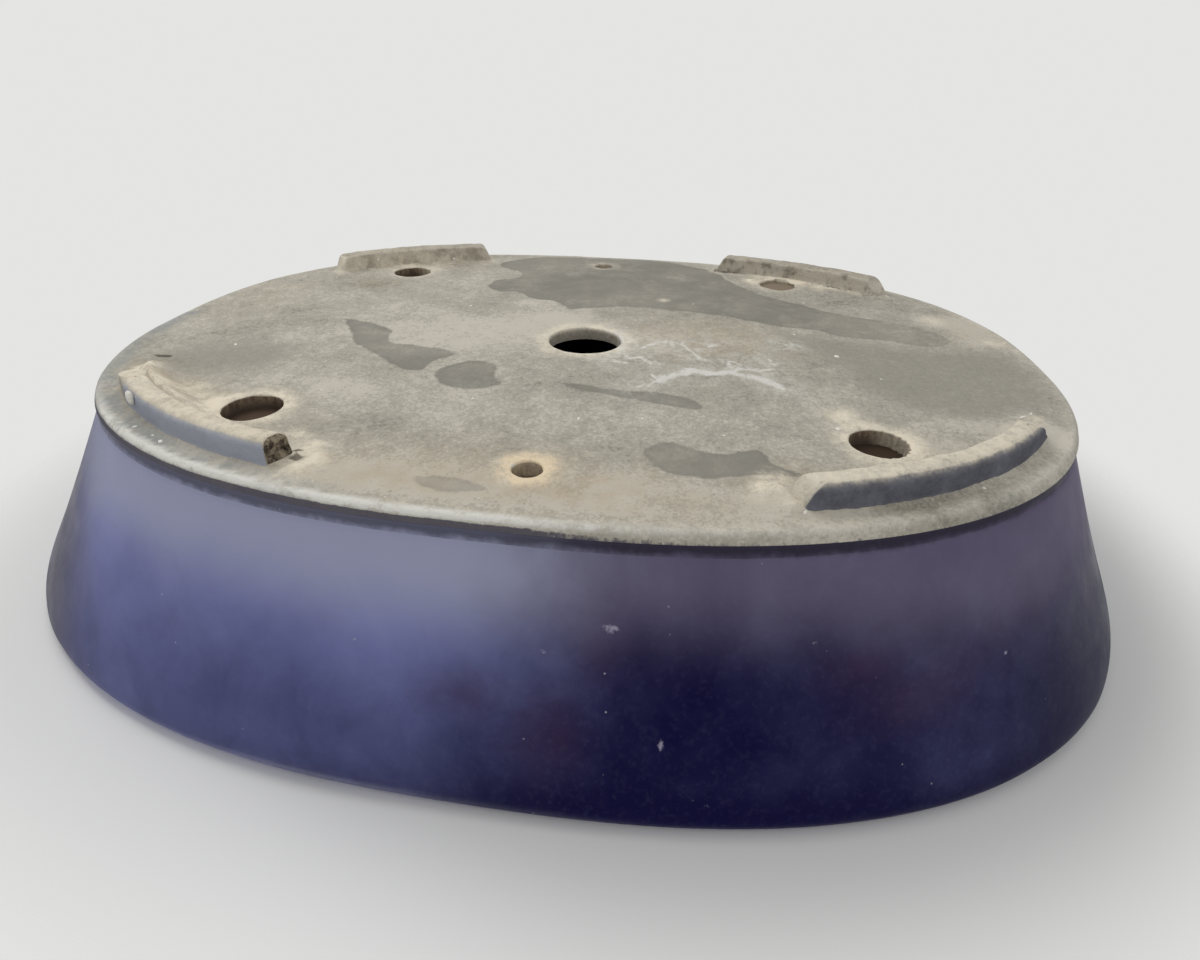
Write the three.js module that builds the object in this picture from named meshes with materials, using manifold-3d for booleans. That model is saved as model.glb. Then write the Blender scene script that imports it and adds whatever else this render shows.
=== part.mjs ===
import * as THREE from 'three';
import { mergeVertices } from 'three/addons/utils/BufferGeometryUtils.js';
import Module from 'manifold-3d';

// Oval bonsai pot of fired clay, standing on its four feet.
// Millimetres. z = 0 is the plane the feet stand on, +z is up, the rim is centred over the origin,
// x runs along the oval and -y is the front.

// Outline of the pot, each size over the glaze
const HEIGHT = 71;
const RIM_LENGTH = 360;
const RIM_WIDTH = 278;
const RIM_SQUARENESS = 2.5;
const RIM_UPTURN = 0.6;
const UPTURN_SHARPNESS = 6;

// Base slab, a flat oval plate with a rounded lower edge
const BASE_LENGTH = 300;
const BASE_WIDTH = 223;
const BASE_SQUARENESS = 2.43;
const BASE_SHIFT = -2.3;
const SLAB_THICKNESS = 5;
const EDGE_BULGE = 2;
const EDGE_HEIGHT = 2.5;

// Wall, and the fillet where it was worked down onto the slab
const WALL_THICKNESS = 5.2;
const FILLET = 3.5;

// Glaze over the outside and the rim, ending in a line above the bare clay edge
const GLAZE_THICKNESS = 0.6;
const GLAZE_DEPTH_INSIDE = 13;
const GLAZE_GAP = 0.3;

// Feet, four curved bars that follow the edge of the slab
const FOOT_HEIGHT = 7;
const FOOT_WIDTH = 8;
const FOOT_DRAFT = 0.7;
const FOOT_EDGE_RADIUS = 1.6;
const FOOT_INSET = 5;
const FEET = [
  { name: 'foot_front_right', bearing: -41.3, length: 89.8, innerRun: 0.5, outerRun: 24 },
  { name: 'foot_front_left', bearing: -141.5, length: 83.7, innerRun: 3.7, outerRun: 9.5 },
  { name: 'foot_rear_right', bearing: 42.6, length: 71, innerRun: 3.1, outerRun: 3.1 },
  { name: 'foot_rear_left', bearing: 132.2, length: 76.1, innerRun: 3.6, outerRun: 5.8 },
];

// Holes through the slab: one in the middle, one at each shoulder and two for the tying wire
const HOLE_CHAMFER = 0.8;
const CENTRE_HOLE = { x: -2.1, y: -2.8, diameter: 25 };
const EDGE_HOLES = [
  { bearing: -42.1, inset: 29.2, diameter: 16 },
  { bearing: -144.8, inset: 32.2, diameter: 15 },
  { bearing: 37.6, inset: 27.1, diameter: 15.7 },
  { bearing: 132.8, inset: 23.5, diameter: 16.5 },
  { bearing: -92.1, inset: 20.4, diameter: 7.5 },
  { bearing: 86.5, inset: 15.8, diameter: 8 },
];

// Fineness of the facets, and how near two corners lie that are one
const WELD = 1e-4;
const ARC_DIVISIONS = 1000;
const OVAL_STEPS = 84;
const FLARE_STEPS = 3;
const UPTURN_STEPS = 3;
const LIP_STEPS = 6;
const FILLET_STEPS = 3;
const EDGE_STEPS = 3;
const CORNER_STEPS = 2;
const FOOT_STEPS = 16;
const HOLE_STEPS = 28;

// Heights and thicknesses that follow from the sizes above
const SLAB_BOTTOM = FOOT_HEIGHT;
const SLAB_TOP = SLAB_BOTTOM + SLAB_THICKNESS;
const GLAZE_LINE = SLAB_BOTTOM + EDGE_HEIGHT;
const CLAY_INSET = GLAZE_THICKNESS + GLAZE_GAP;
const LIP_RADIUS = WALL_THICKNESS / 2 + CLAY_INSET;
const LIP_CENTRE = HEIGHT - LIP_RADIUS;
const GLAZE_END = HEIGHT - GLAZE_DEPTH_INSIDE;

// A superellipse, as a closed curve that starts at its +x end
class Oval extends THREE.Curve {
  constructor(halfLength, halfWidth, squareness, shift) {
    super();
    this.halfLength = halfLength;
    this.halfWidth = halfWidth;
    this.squareness = squareness;
    this.shift = shift;
    this.arcLengthDivisions = ARC_DIVISIONS;
  }

  getPoint(t, target = new THREE.Vector2()) {
    const cos = Math.cos(2 * Math.PI * t);
    const sin = Math.sin(2 * Math.PI * t);
    const power = 2 / this.squareness;
    const x = this.halfLength * Math.sign(cos) * Math.abs(cos) ** power;
    const y = this.halfWidth * Math.sign(sin) * Math.abs(sin) ** power;
    return target.set(x + this.shift, y);
  }

  // Where on the curve a direction from its centre, in degrees, meets it
  atBearing(bearing) {
    const angle = THREE.MathUtils.degToRad(bearing);
    const slope = Math.abs(Math.tan(angle)) * this.halfLength / this.halfWidth;
    const quarter = Math.atan(slope ** (this.squareness / 2));
    const turn = Math.cos(angle) < 0 ? Math.PI - quarter : quarter;
    const t = Math.sign(Math.sin(angle)) * turn / (2 * Math.PI);
    return THREE.MathUtils.euclideanModulo(t, 1);
  }
}

// The edge of the slab's flat underside, drawn in by an inset
function baseOval(inset) {
  return new Oval(BASE_LENGTH / 2 - inset, BASE_WIDTH / 2 - inset, BASE_SQUARENESS, BASE_SHIFT);
}

// The outside of the pot at a share of the flare, 0 at the slab and 1 at the rim, drawn in by an inset
function potOval(share, inset) {
  const { lerp } = THREE.MathUtils;
  return new Oval(
    lerp(BASE_LENGTH / 2 + EDGE_BULGE, RIM_LENGTH / 2, share) - inset,
    lerp(BASE_WIDTH / 2 + EDGE_BULGE, RIM_WIDTH / 2, share) - inset,
    lerp(BASE_SQUARENESS, RIM_SQUARENESS, share),
    lerp(BASE_SHIFT, 0, share),
  );
}

// How far the wall has flared at a height: straight at first, then turning up towards the rim
function flareAt(z) {
  const rise = THREE.MathUtils.clamp((z - SLAB_TOP) / (LIP_CENTRE - SLAB_TOP), 0, 1);
  return rise + RIM_UPTURN * rise ** UPTURN_SHARPNESS * (1 - rise);
}

// One ring of points round the pot
function ring(oval, z) {
  const points = [];
  for (let i = 0; i < OVAL_STEPS; i += 1) {
    const flat = oval.getPoint(i / OVAL_STEPS);
    points.push(new THREE.Vector3(flat.x, flat.y, z));
  }
  return points;
}

function wallRing(inset, z) {
  return ring(potOval(flareAt(z), inset), z);
}

// Joins rows of points with equal counts into bands of triangles, each row closed on itself
function bands(rows, rowPairs) {
  const indices = [];
  const count = rows[0].length;
  for (const [lower, upper] of rowPairs) {
    for (let i = 0; i < count; i += 1) {
      const next = (i + 1) % count;
      const a = lower * count + i;
      const b = lower * count + next;
      const c = upper * count + next;
      const d = upper * count + i;
      indices.push(a, b, c, a, c, d);
    }
  }
  return indices;
}

function geometryOf(points, indices) {
  const geometry = new THREE.BufferGeometry().setFromPoints(points);
  geometry.setIndex(indices);
  return geometry;
}

// A body round a hollow: the last row joins the first again
function loftLoop(rows) {
  const pairs = rows.map((row, i) => [i, (i + 1) % rows.length]);
  return geometryOf(rows.flat(), bands(rows, pairs));
}

// A solid body: the first and the last row are closed by fans from their middles
function loftSolid(rows) {
  const pairs = rows.slice(1).map((row, i) => [i, i + 1]);
  const indices = bands(rows, pairs);
  const points = rows.flat();
  const count = rows[0].length;
  const last = (rows.length - 1) * count;
  const startMiddle = points.push(middleOf(rows[0])) - 1;
  const endMiddle = points.push(middleOf(rows[rows.length - 1])) - 1;
  for (let i = 0; i < count; i += 1) {
    const next = (i + 1) % count;
    indices.push(startMiddle, next, i, endMiddle, last + i, last + next);
  }
  return geometryOf(points, indices);
}

function middleOf(row) {
  const sum = row.reduce((total, point) => total.add(point), new THREE.Vector3());
  return sum.divideScalar(row.length);
}

// Heights of the rings between the slab and the lip, which all faces of the wall and the glaze share
function flareHeights() {
  const heights = [];
  for (let i = 0; i < FLARE_STEPS; i += 1) {
    heights.push(THREE.MathUtils.lerp(SLAB_TOP, GLAZE_END, i / FLARE_STEPS));
  }
  for (let i = 0; i < UPTURN_STEPS; i += 1) {
    heights.push(THREE.MathUtils.lerp(GLAZE_END, LIP_CENTRE, i / UPTURN_STEPS));
  }
  return heights;
}

// The pot's outer face from a start height up the flare, over the lip and down inside to an end height
function overTheRim(inset, startZ, endZ) {
  const rows = [];
  const heights = flareHeights();
  if (startZ < SLAB_TOP) {
    rows.push(wallRing(inset, startZ));
  }
  for (const z of heights) {
    rows.push(wallRing(inset, z));
  }
  const radius = LIP_RADIUS - inset;
  for (let i = 0; i <= LIP_STEPS; i += 1) {
    const angle = Math.PI * i / LIP_STEPS;
    rows.push(wallRing(LIP_RADIUS - radius * Math.cos(angle), LIP_CENTRE + radius * Math.sin(angle)));
  }
  for (const z of heights.reverse()) {
    if (z > endZ) {
      rows.push(wallRing(2 * LIP_RADIUS - inset, z));
    }
  }
  rows.push(wallRing(2 * LIP_RADIUS - inset, endZ));
  return rows;
}

// Manifold joins and cuts closed meshes
const wasm = await Module();
wasm.setup();

function toManifold(geometry) {
  const bare = geometry.clone();
  bare.deleteAttribute('normal');
  bare.deleteAttribute('uv');
  const merged = mergeVertices(bare, WELD);
  return new wasm.Manifold(new wasm.Mesh({
    numProp: 3,
    vertProperties: new Float32Array(merged.attributes.position.array),
    triVerts: new Uint32Array(merged.index.array),
  }));
}

function fromManifold(solid) {
  const { vertProperties, triVerts } = solid.getMesh();
  const geometry = new THREE.BufferGeometry();
  geometry.setAttribute('position', new THREE.BufferAttribute(new Float32Array(vertProperties), 3));
  geometry.setIndex(new THREE.BufferAttribute(new Uint32Array(triVerts), 1));
  return geometry;
}

// A cutter for one hole: a straight shaft that widens into a chamfer at the slab's underside
function holeCutter(x, y, diameter) {
  const radius = diameter / 2;
  const beyond = SLAB_THICKNESS;
  const profile = [
    new THREE.Vector2(0, SLAB_BOTTOM - beyond),
    new THREE.Vector2(radius + HOLE_CHAMFER, SLAB_BOTTOM - beyond),
    new THREE.Vector2(radius + HOLE_CHAMFER, SLAB_BOTTOM),
    new THREE.Vector2(radius, SLAB_BOTTOM + HOLE_CHAMFER),
    new THREE.Vector2(radius, SLAB_TOP + beyond),
    new THREE.Vector2(0, SLAB_TOP + beyond),
  ];
  const cutter = new THREE.LatheGeometry(profile, HOLE_STEPS);
  cutter.rotateX(Math.PI / 2);
  cutter.translate(x, y, 0);
  return toManifold(cutter);
}

// Base slab: rounded bare edge, then a side that is drawn in to take the glaze
function baseSlab() {
  const rows = [];
  for (let i = 0; i <= EDGE_STEPS; i += 1) {
    const angle = Math.PI / 2 * i / EDGE_STEPS;
    const out = EDGE_BULGE * Math.sin(angle);
    const up = EDGE_HEIGHT * (1 - Math.cos(angle));
    rows.push(ring(baseOval(-out), SLAB_BOTTOM + up));
  }
  rows.push(ring(potOval(0, CLAY_INSET), GLAZE_LINE));
  rows.push(ring(potOval(0, CLAY_INSET), SLAB_TOP));
  let slab = toManifold(loftSolid(rows));
  slab = slab.subtract(holeCutter(BASE_SHIFT + CENTRE_HOLE.x, CENTRE_HOLE.y, CENTRE_HOLE.diameter));
  const edge = baseOval(0);
  for (const hole of EDGE_HOLES) {
    const rim = edge.getPoint(edge.atBearing(hole.bearing)).sub(new THREE.Vector2(BASE_SHIFT, 0));
    const place = rim.setLength(rim.length() - hole.inset);
    slab = slab.subtract(holeCutter(BASE_SHIFT + place.x, place.y, hole.diameter));
  }
  return fromManifold(slab);
}

// Wall: stands on the slab, flares to a round lip, and meets the slab again in a fillet
function wall() {
  const inner = 2 * LIP_RADIUS - CLAY_INSET;
  const rows = overTheRim(CLAY_INSET, SLAB_TOP, SLAB_TOP + FILLET);
  for (let i = 1; i <= FILLET_STEPS; i += 1) {
    const angle = Math.PI / 2 * i / FILLET_STEPS;
    const inset = inner + FILLET * (1 - Math.cos(angle));
    rows.push(ring(potOval(flareAt(SLAB_TOP + FILLET), inset), SLAB_TOP + FILLET * (1 - Math.sin(angle))));
  }
  return loftLoop(rows);
}

// Glaze: a thin skin over the outside and the lip
function glazeCoat() {
  const startZ = GLAZE_LINE + GLAZE_GAP;
  const outside = overTheRim(0, startZ, GLAZE_END);
  const inside = overTheRim(GLAZE_THICKNESS, startZ, GLAZE_END);
  return loftLoop([...outside, ...inside.reverse()]);
}

// Section of a foot: inset from the edge of the base, and height; wide at the root, rounded below
function footSection() {
  const outerRoot = FOOT_INSET;
  const innerRoot = FOOT_INSET + FOOT_WIDTH;
  const outer = outerRoot + FOOT_DRAFT;
  const inner = innerRoot - FOOT_DRAFT;
  const shape = new THREE.Shape();
  shape.moveTo(innerRoot, FOOT_HEIGHT);
  shape.lineTo(outerRoot, FOOT_HEIGHT);
  shape.lineTo(outer, FOOT_EDGE_RADIUS);
  shape.quadraticCurveTo(outer, 0, outer + FOOT_EDGE_RADIUS, 0);
  shape.lineTo(inner - FOOT_EDGE_RADIUS, 0);
  shape.quadraticCurveTo(inner, 0, inner, FOOT_EDGE_RADIUS);
  return shape.getPoints(CORNER_STEPS);
}

// Foot: its section run along the base oval, each end sloping back from the root to the standing face
function foot({ bearing, length, innerRun, outerRun }) {
  const line = baseOval(FOOT_INSET + FOOT_WIDTH / 2);
  const middle = lengthTo(line, line.atBearing(bearing));
  const startsAtTip = Math.tan(THREE.MathUtils.degToRad(bearing)) > 0;
  const [startRun, endRun] = startsAtTip ? [outerRun, innerRun] : [innerRun, outerRun];
  const rows = [];
  for (let i = 0; i <= FOOT_STEPS; i += 1) {
    rows.push(footSection().map((corner) => {
      const drop = 1 - corner.y / FOOT_HEIGHT;
      const from = middle - length / 2 + startRun * drop;
      const to = middle + length / 2 - endRun * drop;
      const t = line.getUtoTmapping(0, THREE.MathUtils.lerp(from, to, i / FOOT_STEPS));
      const flat = baseOval(corner.x).getPoint(t);
      return new THREE.Vector3(flat.x, flat.y, corner.y);
    }));
  }
  return loftSolid(rows);
}

// Distance along a curve to one of its points
function lengthTo(curve, t) {
  const lengths = curve.getLengths();
  const place = t * curve.arcLengthDivisions;
  const step = Math.floor(place);
  return THREE.MathUtils.lerp(lengths[step], lengths[step + 1], place - step);
}

const clay = new THREE.MeshStandardMaterial({ color: 0x9a9382, roughness: 0.85, metalness: 0 });
const glaze = new THREE.MeshStandardMaterial({ color: 0x2b2f57, roughness: 0.35, metalness: 0 });

const pot = new THREE.Group();

function addPiece(name, geometry, material) {
  const mesh = new THREE.Mesh(geometry, material);
  mesh.name = name;
  pot.add(mesh);
}

addPiece('base_slab', baseSlab(), clay);
addPiece('wall', wall(), clay);
addPiece('glaze_coat', glazeCoat(), glaze);
for (const each of FEET) {
  addPiece(each.name, foot(each), clay);
}

export default pot;
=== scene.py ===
import functools
import math

import bmesh
import bpy
import numpy as np
from mathutils import Matrix, Vector, noise
from mathutils.geometry import delaunay_2d_cdt


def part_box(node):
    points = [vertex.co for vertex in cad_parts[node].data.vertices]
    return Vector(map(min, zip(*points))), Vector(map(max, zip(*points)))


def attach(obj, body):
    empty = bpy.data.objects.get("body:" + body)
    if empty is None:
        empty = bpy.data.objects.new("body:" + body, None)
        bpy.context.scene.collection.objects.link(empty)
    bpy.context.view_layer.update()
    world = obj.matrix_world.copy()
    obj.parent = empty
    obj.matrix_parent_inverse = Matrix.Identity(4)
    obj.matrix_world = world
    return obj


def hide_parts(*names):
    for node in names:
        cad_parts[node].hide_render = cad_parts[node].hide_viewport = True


# Oval bonsai pot, modelled upright and dressed for a picture from below, as if it lay on its rim.
# Sizes are in millimetres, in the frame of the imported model, and become metres when a mesh is made.
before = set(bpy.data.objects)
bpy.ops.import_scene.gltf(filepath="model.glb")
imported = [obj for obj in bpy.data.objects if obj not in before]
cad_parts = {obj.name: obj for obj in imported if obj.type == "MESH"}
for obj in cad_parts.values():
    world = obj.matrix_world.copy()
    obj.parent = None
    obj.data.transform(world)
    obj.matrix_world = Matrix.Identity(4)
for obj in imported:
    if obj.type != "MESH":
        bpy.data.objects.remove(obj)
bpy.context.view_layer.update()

MM = 0.001


def box_mm(node):
    low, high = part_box(node)
    return np.array(low) / MM, np.array(high) / MM


# Main sizes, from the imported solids
SLAB_LOW, SLAB_HIGH = box_mm("base_slab")
WALL_HIGH = box_mm("wall")[1]
GLAZE_LOW, GLAZE_HIGH = box_mm("glaze_coat")
SLAB_BOTTOM = SLAB_LOW[2]
SLAB_TOP = SLAB_HIGH[2]
HEIGHT = GLAZE_HIGH[2]
EDGE_HALF = (SLAB_HIGH - SLAB_LOW)[:2] / 2
RIM_HALF = (GLAZE_HIGH - GLAZE_LOW)[:2] / 2
BASE_SHIFT = (SLAB_HIGH + SLAB_LOW)[0] / 2
MIDDLE = np.array([BASE_SHIFT, 0])
CLAY_INSET = (GLAZE_HIGH - WALL_HIGH)[0]
GLAZE_START = GLAZE_LOW[2]

# Form of the pot, as in the solids
BASE_SQUARENESS = 2.43
RIM_SQUARENESS = 2.5
RIM_UPTURN = 0.6
UPTURN_SHARPNESS = 6
EDGE_BULGE = 2.0
EDGE_HEIGHT = 2.5
SLAB_SIDE = SLAB_BOTTOM + EDGE_HEIGHT
WALL_THICKNESS = 5.2
FILLET = 3.5
GLAZE_THICKNESS = 0.6
GLAZE_DEPTH_INSIDE = 13.0
LIP_RADIUS = WALL_THICKNESS / 2 + CLAY_INSET
LIP_CENTRE = HEIGHT - LIP_RADIUS
GLAZE_END = HEIGHT - GLAZE_DEPTH_INSIDE

# Hand work: how far the clay lies back inside the wall, the groove in the glaze over the bare edge, and how
# far the glaze of the lip lies inside its plain outline
WALL_SLACK = 0.3
GROOVE_HEIGHT = GLAZE_START + 1.5
GROOVE_REACH = 1.5
GROOVE_DEPTH = 0.6
LIP_DEPTH = 0.12

# How the bare edge turns in under the glaze: inset, and height above its widest point
EDGE_TURN_IN = [(0.12, 0.25), (0.45, 0.45), (CLAY_INSET, 0.6)]

# Feet: bearing in degrees, length, and how far each end slopes back from the root to the standing face
FOOT_WIDTH = 8.0
FOOT_DRAFT = 0.7
FOOT_INSET = 5.0
FEET = {
    "foot_front_right": (-41.3, 89.8, 0.5, 24.0),
    "foot_front_left": (-141.5, 83.7, 3.7, 9.5),
    "foot_rear_right": (42.6, 71.0, 3.1, 3.1),
    "foot_rear_left": (132.2, 76.1, 3.6, 5.8),
}
# How far the lower edges of a foot are worn round, how much painted light lightens its inner side, and how
# mottled and warm its clay is
FOOT_LOOKS = {
    "foot_front_right": (2.5, 0.1, 0.25, 0.6),
    "foot_front_left": (2.2, 0.1, 0.25, 0.1),
    "foot_rear_right": (1.3, 1.6, 0.65, 0.35),
    "foot_rear_left": (1.6, 0.5, 0.9, 0.35),
}
FOOT_CORNER = 1.3

# Holes: bearing and inset from the edge of the base, diameter, and how ragged the rim is. The middle one has
# its place beside the middle of the base.
HOLE_RIM = 0.7
HOLE_RIM_INSIDE = HOLE_RIM * 0.7
CUT_MARKS = 21
CUT_DEPTH = 0.35
CENTRE_HOLE = (-2.1, -2.8, 25.0, 0.12)
EDGE_HOLES = {
    "front_right": (-42.1, 29.2, 16.0, 0.2),
    "front_left": (-144.8, 32.2, 15.0, 0.2),
    "rear_right": (37.6, 27.1, 15.7, 0.25),
    "rear_left": (132.8, 23.5, 16.5, 0.6),
    "wire_front": (-92.1, 20.4, 7.5, 0.25),
    "wire_rear": (86.5, 15.8, 8.0, 0.25),
}

# Fineness of the meshes
OVAL_POINTS = 420
PLATE_SPACING = 1.5
FLOOR_SPACING = 3.2
EDGE_ROUNDS = 7
HOLE_LEVELS = 5
HOLE_POINT_SPACING = 1.0
FOOT_SIDE_STEPS = 84
FOOT_CORNER_STEPS = 6


# Curves of the pot

def superellipse(t, half, squareness, shift):
    cos = np.cos(2 * np.pi * t)
    sin = np.sin(2 * np.pi * t)
    power = 2 / squareness
    x = half[0] * np.sign(cos) * np.abs(cos) ** power + shift
    y = half[1] * np.sign(sin) * np.abs(sin) ** power
    return np.stack([x, y], axis=-1)


def base_oval(t, inset):
    half = EDGE_HALF - EDGE_BULGE
    return superellipse(t, [half[0] - inset, half[1] - inset], BASE_SQUARENESS, BASE_SHIFT)


def pot_oval(t, share, inset):
    half_length = EDGE_HALF[0] + (RIM_HALF[0] - EDGE_HALF[0]) * share - inset
    half_width = EDGE_HALF[1] + (RIM_HALF[1] - EDGE_HALF[1]) * share - inset
    squareness = BASE_SQUARENESS + (RIM_SQUARENESS - BASE_SQUARENESS) * share
    return superellipse(t, [half_length, half_width], squareness, BASE_SHIFT * (1 - share))


def flare_at(z):
    rise = np.clip((z - SLAB_TOP) / (LIP_CENTRE - SLAB_TOP), 0, 1)
    return rise + RIM_UPTURN * rise ** UPTURN_SHARPNESS * (1 - rise)


def lengths_along(curve):
    steps = np.hypot(*np.diff(curve, axis=0).T)
    return np.concatenate([[0], np.cumsum(steps)])


def even_turns(count):
    """Places on the oval that are about equally far apart on the rim."""
    fine = np.linspace(0, 1, 4001)
    lengths = lengths_along(pot_oval(fine, 1, 0))
    return np.interp(np.arange(count) * lengths[-1] / count, lengths, fine)


def turn_at_bearing(bearing):
    half = EDGE_HALF - EDGE_BULGE
    angle = math.radians(bearing)
    slope = abs(math.tan(angle)) * half[0] / half[1]
    quarter = math.atan(slope ** (BASE_SQUARENESS / 2))
    turn = math.pi - quarter if math.cos(angle) < 0 else quarter
    return (math.copysign(turn, math.sin(angle)) / (2 * math.pi)) % 1


def hole_places():
    """Centre, radius and raggedness of every hole."""
    x, y, diameter, ragged = CENTRE_HOLE
    places = {"centre": (MIDDLE + [x, y], diameter / 2, ragged)}
    for name, (bearing, inset, diameter, ragged) in EDGE_HOLES.items():
        spoke = base_oval(turn_at_bearing(bearing), 0) - MIDDLE
        reach = np.hypot(*spoke)
        places[name] = (MIDDLE + spoke * (reach - inset) / reach, diameter / 2, ragged)
    return places


TURNS = even_turns(OVAL_POINTS)
HOLES = hole_places()


# Shared tools for points and meshes

def wobble(points, wavelength, seed):
    """Smooth noise of about -1 to 1 at each point, with its wavelength in mm."""
    offset = Vector((17.3, 9.1, 5.7)) * seed
    return np.array([noise.noise(Vector(point) / wavelength + offset) for point in points])


def quarter_turn(steps):
    """Angles of a quarter turn in even steps, without the first."""
    return math.pi / 2 * np.arange(1, steps + 1) / steps


def unit_circle(count):
    around = np.arange(count) * 2 * np.pi / count
    return np.stack([np.cos(around), np.sin(around)], axis=-1)


def lifted(flat, z):
    return np.column_stack([flat, np.broadcast_to(z, len(flat))])


def smooth_step(value, low, high):
    share = np.clip((value - low) / (high - low), 0, 1)
    return share * share * (3 - 2 * share)


def rounded_outline(corners, steps=5):
    """A closed Catmull-Rom curve through the corners."""
    corners = np.array(corners, float)
    before = np.roll(corners, 1, axis=0)
    after = np.roll(corners, -1, axis=0)
    beyond = np.roll(corners, -2, axis=0)
    rows = []
    for share in np.arange(steps) / steps:
        square = share ** 2
        cube = share ** 3
        rows.append(0.5 * (2 * corners + (after - before) * share
                           + (2 * before - 5 * corners + 4 * after - beyond) * square
                           + (3 * corners - before - 3 * after + beyond) * cube))
    return np.stack(rows, axis=1).reshape(-1, 2)


def distance(flat, place):
    return np.hypot(*(flat - place).T)


def distance_to_path(points, path):
    nearest = np.full(len(points), np.inf)
    for start, run in zip(path, np.diff(path, axis=0)):
        offset = points - start
        along = np.clip(offset @ run / (run @ run), 0, 1)
        nearest = np.minimum(nearest, distance(offset, along[:, None] * run))
    return nearest


def depth_inside(points, outline):
    """Distance to a closed outline, positive inside it and negative outside."""
    path = np.concatenate([outline, outline[:1]])
    inside = np.zeros(len(points), bool)
    for start, run in zip(path, np.diff(path, axis=0)):
        if run[1] != 0:
            share = (points[:, 1] - start[1]) / run[1]
            inside ^= (share >= 0) & (share < 1) & (points[:, 0] - start[0] < share * run[0])
    return distance_to_path(points, path) * np.where(inside, 1, -1)


class MeshMaker:
    """Collects points and faces, and turns them into an object."""

    def __init__(self):
        self.rows = []
        self.faces = []
        self.count = 0

    def add(self, points):
        indices = np.arange(self.count, self.count + len(points))
        self.rows.append(np.asarray(points, float))
        self.count += len(points)
        return indices

    def bridge(self, lower, upper):
        for i in range(len(lower)):
            after = (i + 1) % len(lower)
            self.faces.append((lower[i], lower[after], upper[after], upper[i]))

    def loft(self, rings, closed=False):
        indices = [self.add(ring) for ring in rings]
        for lower, upper in zip(indices, indices[1:]):
            self.bridge(lower, upper)
        if closed:
            self.bridge(indices[-1], indices[0])
        return indices

    def points(self):
        return np.concatenate(self.rows)

    def build(self, name, points=None):
        points = self.points() if points is None else points
        mesh = bpy.data.meshes.new(name)
        faces = [[int(index) for index in face] for face in self.faces]
        mesh.from_pydata((points * MM).tolist(), [], faces)
        work = bmesh.new()
        work.from_mesh(mesh)
        bmesh.ops.recalc_face_normals(work, faces=work.faces)
        work.to_mesh(mesh)
        work.free()
        mesh.shade_smooth()
        piece = bpy.data.objects.new(name, mesh)
        bpy.context.scene.collection.objects.link(piece)
        return piece


def paint(piece, **values):
    """Stores values per vertex, for the materials."""
    for name, value in values.items():
        layer = piece.data.attributes.new(name, "FLOAT", "POINT")
        layer.data.foreach_set("value", np.ascontiguousarray(value, dtype=np.float32))


def normals_of(piece):
    flat = np.empty(len(piece.data.vertices) * 3)
    piece.data.vertices.foreach_get("normal", flat)
    return flat.reshape(-1, 3)


def move_points(piece, points):
    piece.data.vertices.foreach_set("co", (points * MM).ravel())
    piece.data.update()


def dress(piece, material, slot, *nodes):
    piece.data.materials.append(material)
    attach(piece, "root")
    if nodes:
        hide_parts(*nodes)


# Marks on the underside, read in the photograph: outlines of dark stains, in mm
STAINS = [
    [(52, 90), (46, 99), (35, 106), (17, 109), (-3, 111), (-23, 110), (-36, 103), (-48, 95), (-54, 82),
     (-66, 65), (-83, 52), (-98, 42), (-113, 37), (-126, 29), (-131, 19), (-122, 12), (-107, 16), (-95, 17),
     (-83, 23), (-71, 24), (-53, 32), (-36, 35), (-17, 37), (-3, 33), (7, 30), (15, 38), (24, 40), (33, 48),
     (40, 47), (47, 53), (46, 63), (38, 69), (39, 77), (48, 83)],
    [(86, 2), (76, 0), (65, -6), (61, -17), (48, -19), (36, -23), (40, -31), (42, -39), (50, -37),
     (60, -29), (70, -22), (77, -12)],
    [(36, -38), (33, -32), (26, -28), (19, -31), (18, -38), (14, -44), (20, -49), (28, -49), (34, -45)],
    [(-2, -40), (-12, -41), (-23, -43), (-33, -42), (-42, -45), (-46, -51), (-38, -51), (-25, -48),
     (-12, -45)],
    [(-32, -78), (-36, -73), (-43, -74), (-51, -76), (-60, -73), (-64, -79), (-70, -83), (-66, -86),
     (-57, -86), (-48, -88), (-39, -87), (-34, -83)],
    [(20, -99), (13, -98), (5, -99), (1, -102), (7, -104), (15, -103)],
]

# Soft clouds on the underside: centre, reach along x and y, and strength, dark above 0 and light below
CLOUDS = [
    (97, 47, 14, 10, 0.35), (42, 28, 20, 20, 0.15), (-18, 80, 9, 8, -0.5), (-36, 79, 10, 7, -0.5),
    (-142, 28, 10, 16, -0.7), (-132, 42, 14, 8, -0.5), (60, 60, 26, 18, -0.15), (40, -15, 34, 30, -0.28),
    (0, -104, 90, 5, -0.45), (0, 12, 26, 20, -0.2), (-45, 8, 24, 14, -0.1), (40, -75, 9, 8, 0.35),
    (70, 80, 6, 6, 0.3), (20, -62, 60, 12, -0.15), (-100, -62, 26, 10, -0.3), (8, 18, 12, 6, -0.5),
    (126, -46, 12, 5, 0.4), (-80, -40, 16, 10, -0.2), (-60, 40, 30, 5, -0.2), (86, -52, 16, 8, -0.2),
    (-106, 62, 22, 10, 0.25), (-84, 92, 12, 6, 0.45), (20, 36, 18, 6, -0.25), (48, -98, 34, 9, -0.55),
    (-112, -74, 22, 10, -0.5), (28, 6, 34, 18, -0.4), (63, -54, 12, 6, -0.45), (28, -98, 14, 5, -0.4),
    (-69, -96, 16, 4, -0.9), (-28, -93, 20, 6, -0.5), (-136, -52, 7, 8, -1.1), (-120, -50, 9, 7, -0.4),
    (-113, -86, 10, 4, 0.6), (-92, -93, 16, 4, 0.45),
]

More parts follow.
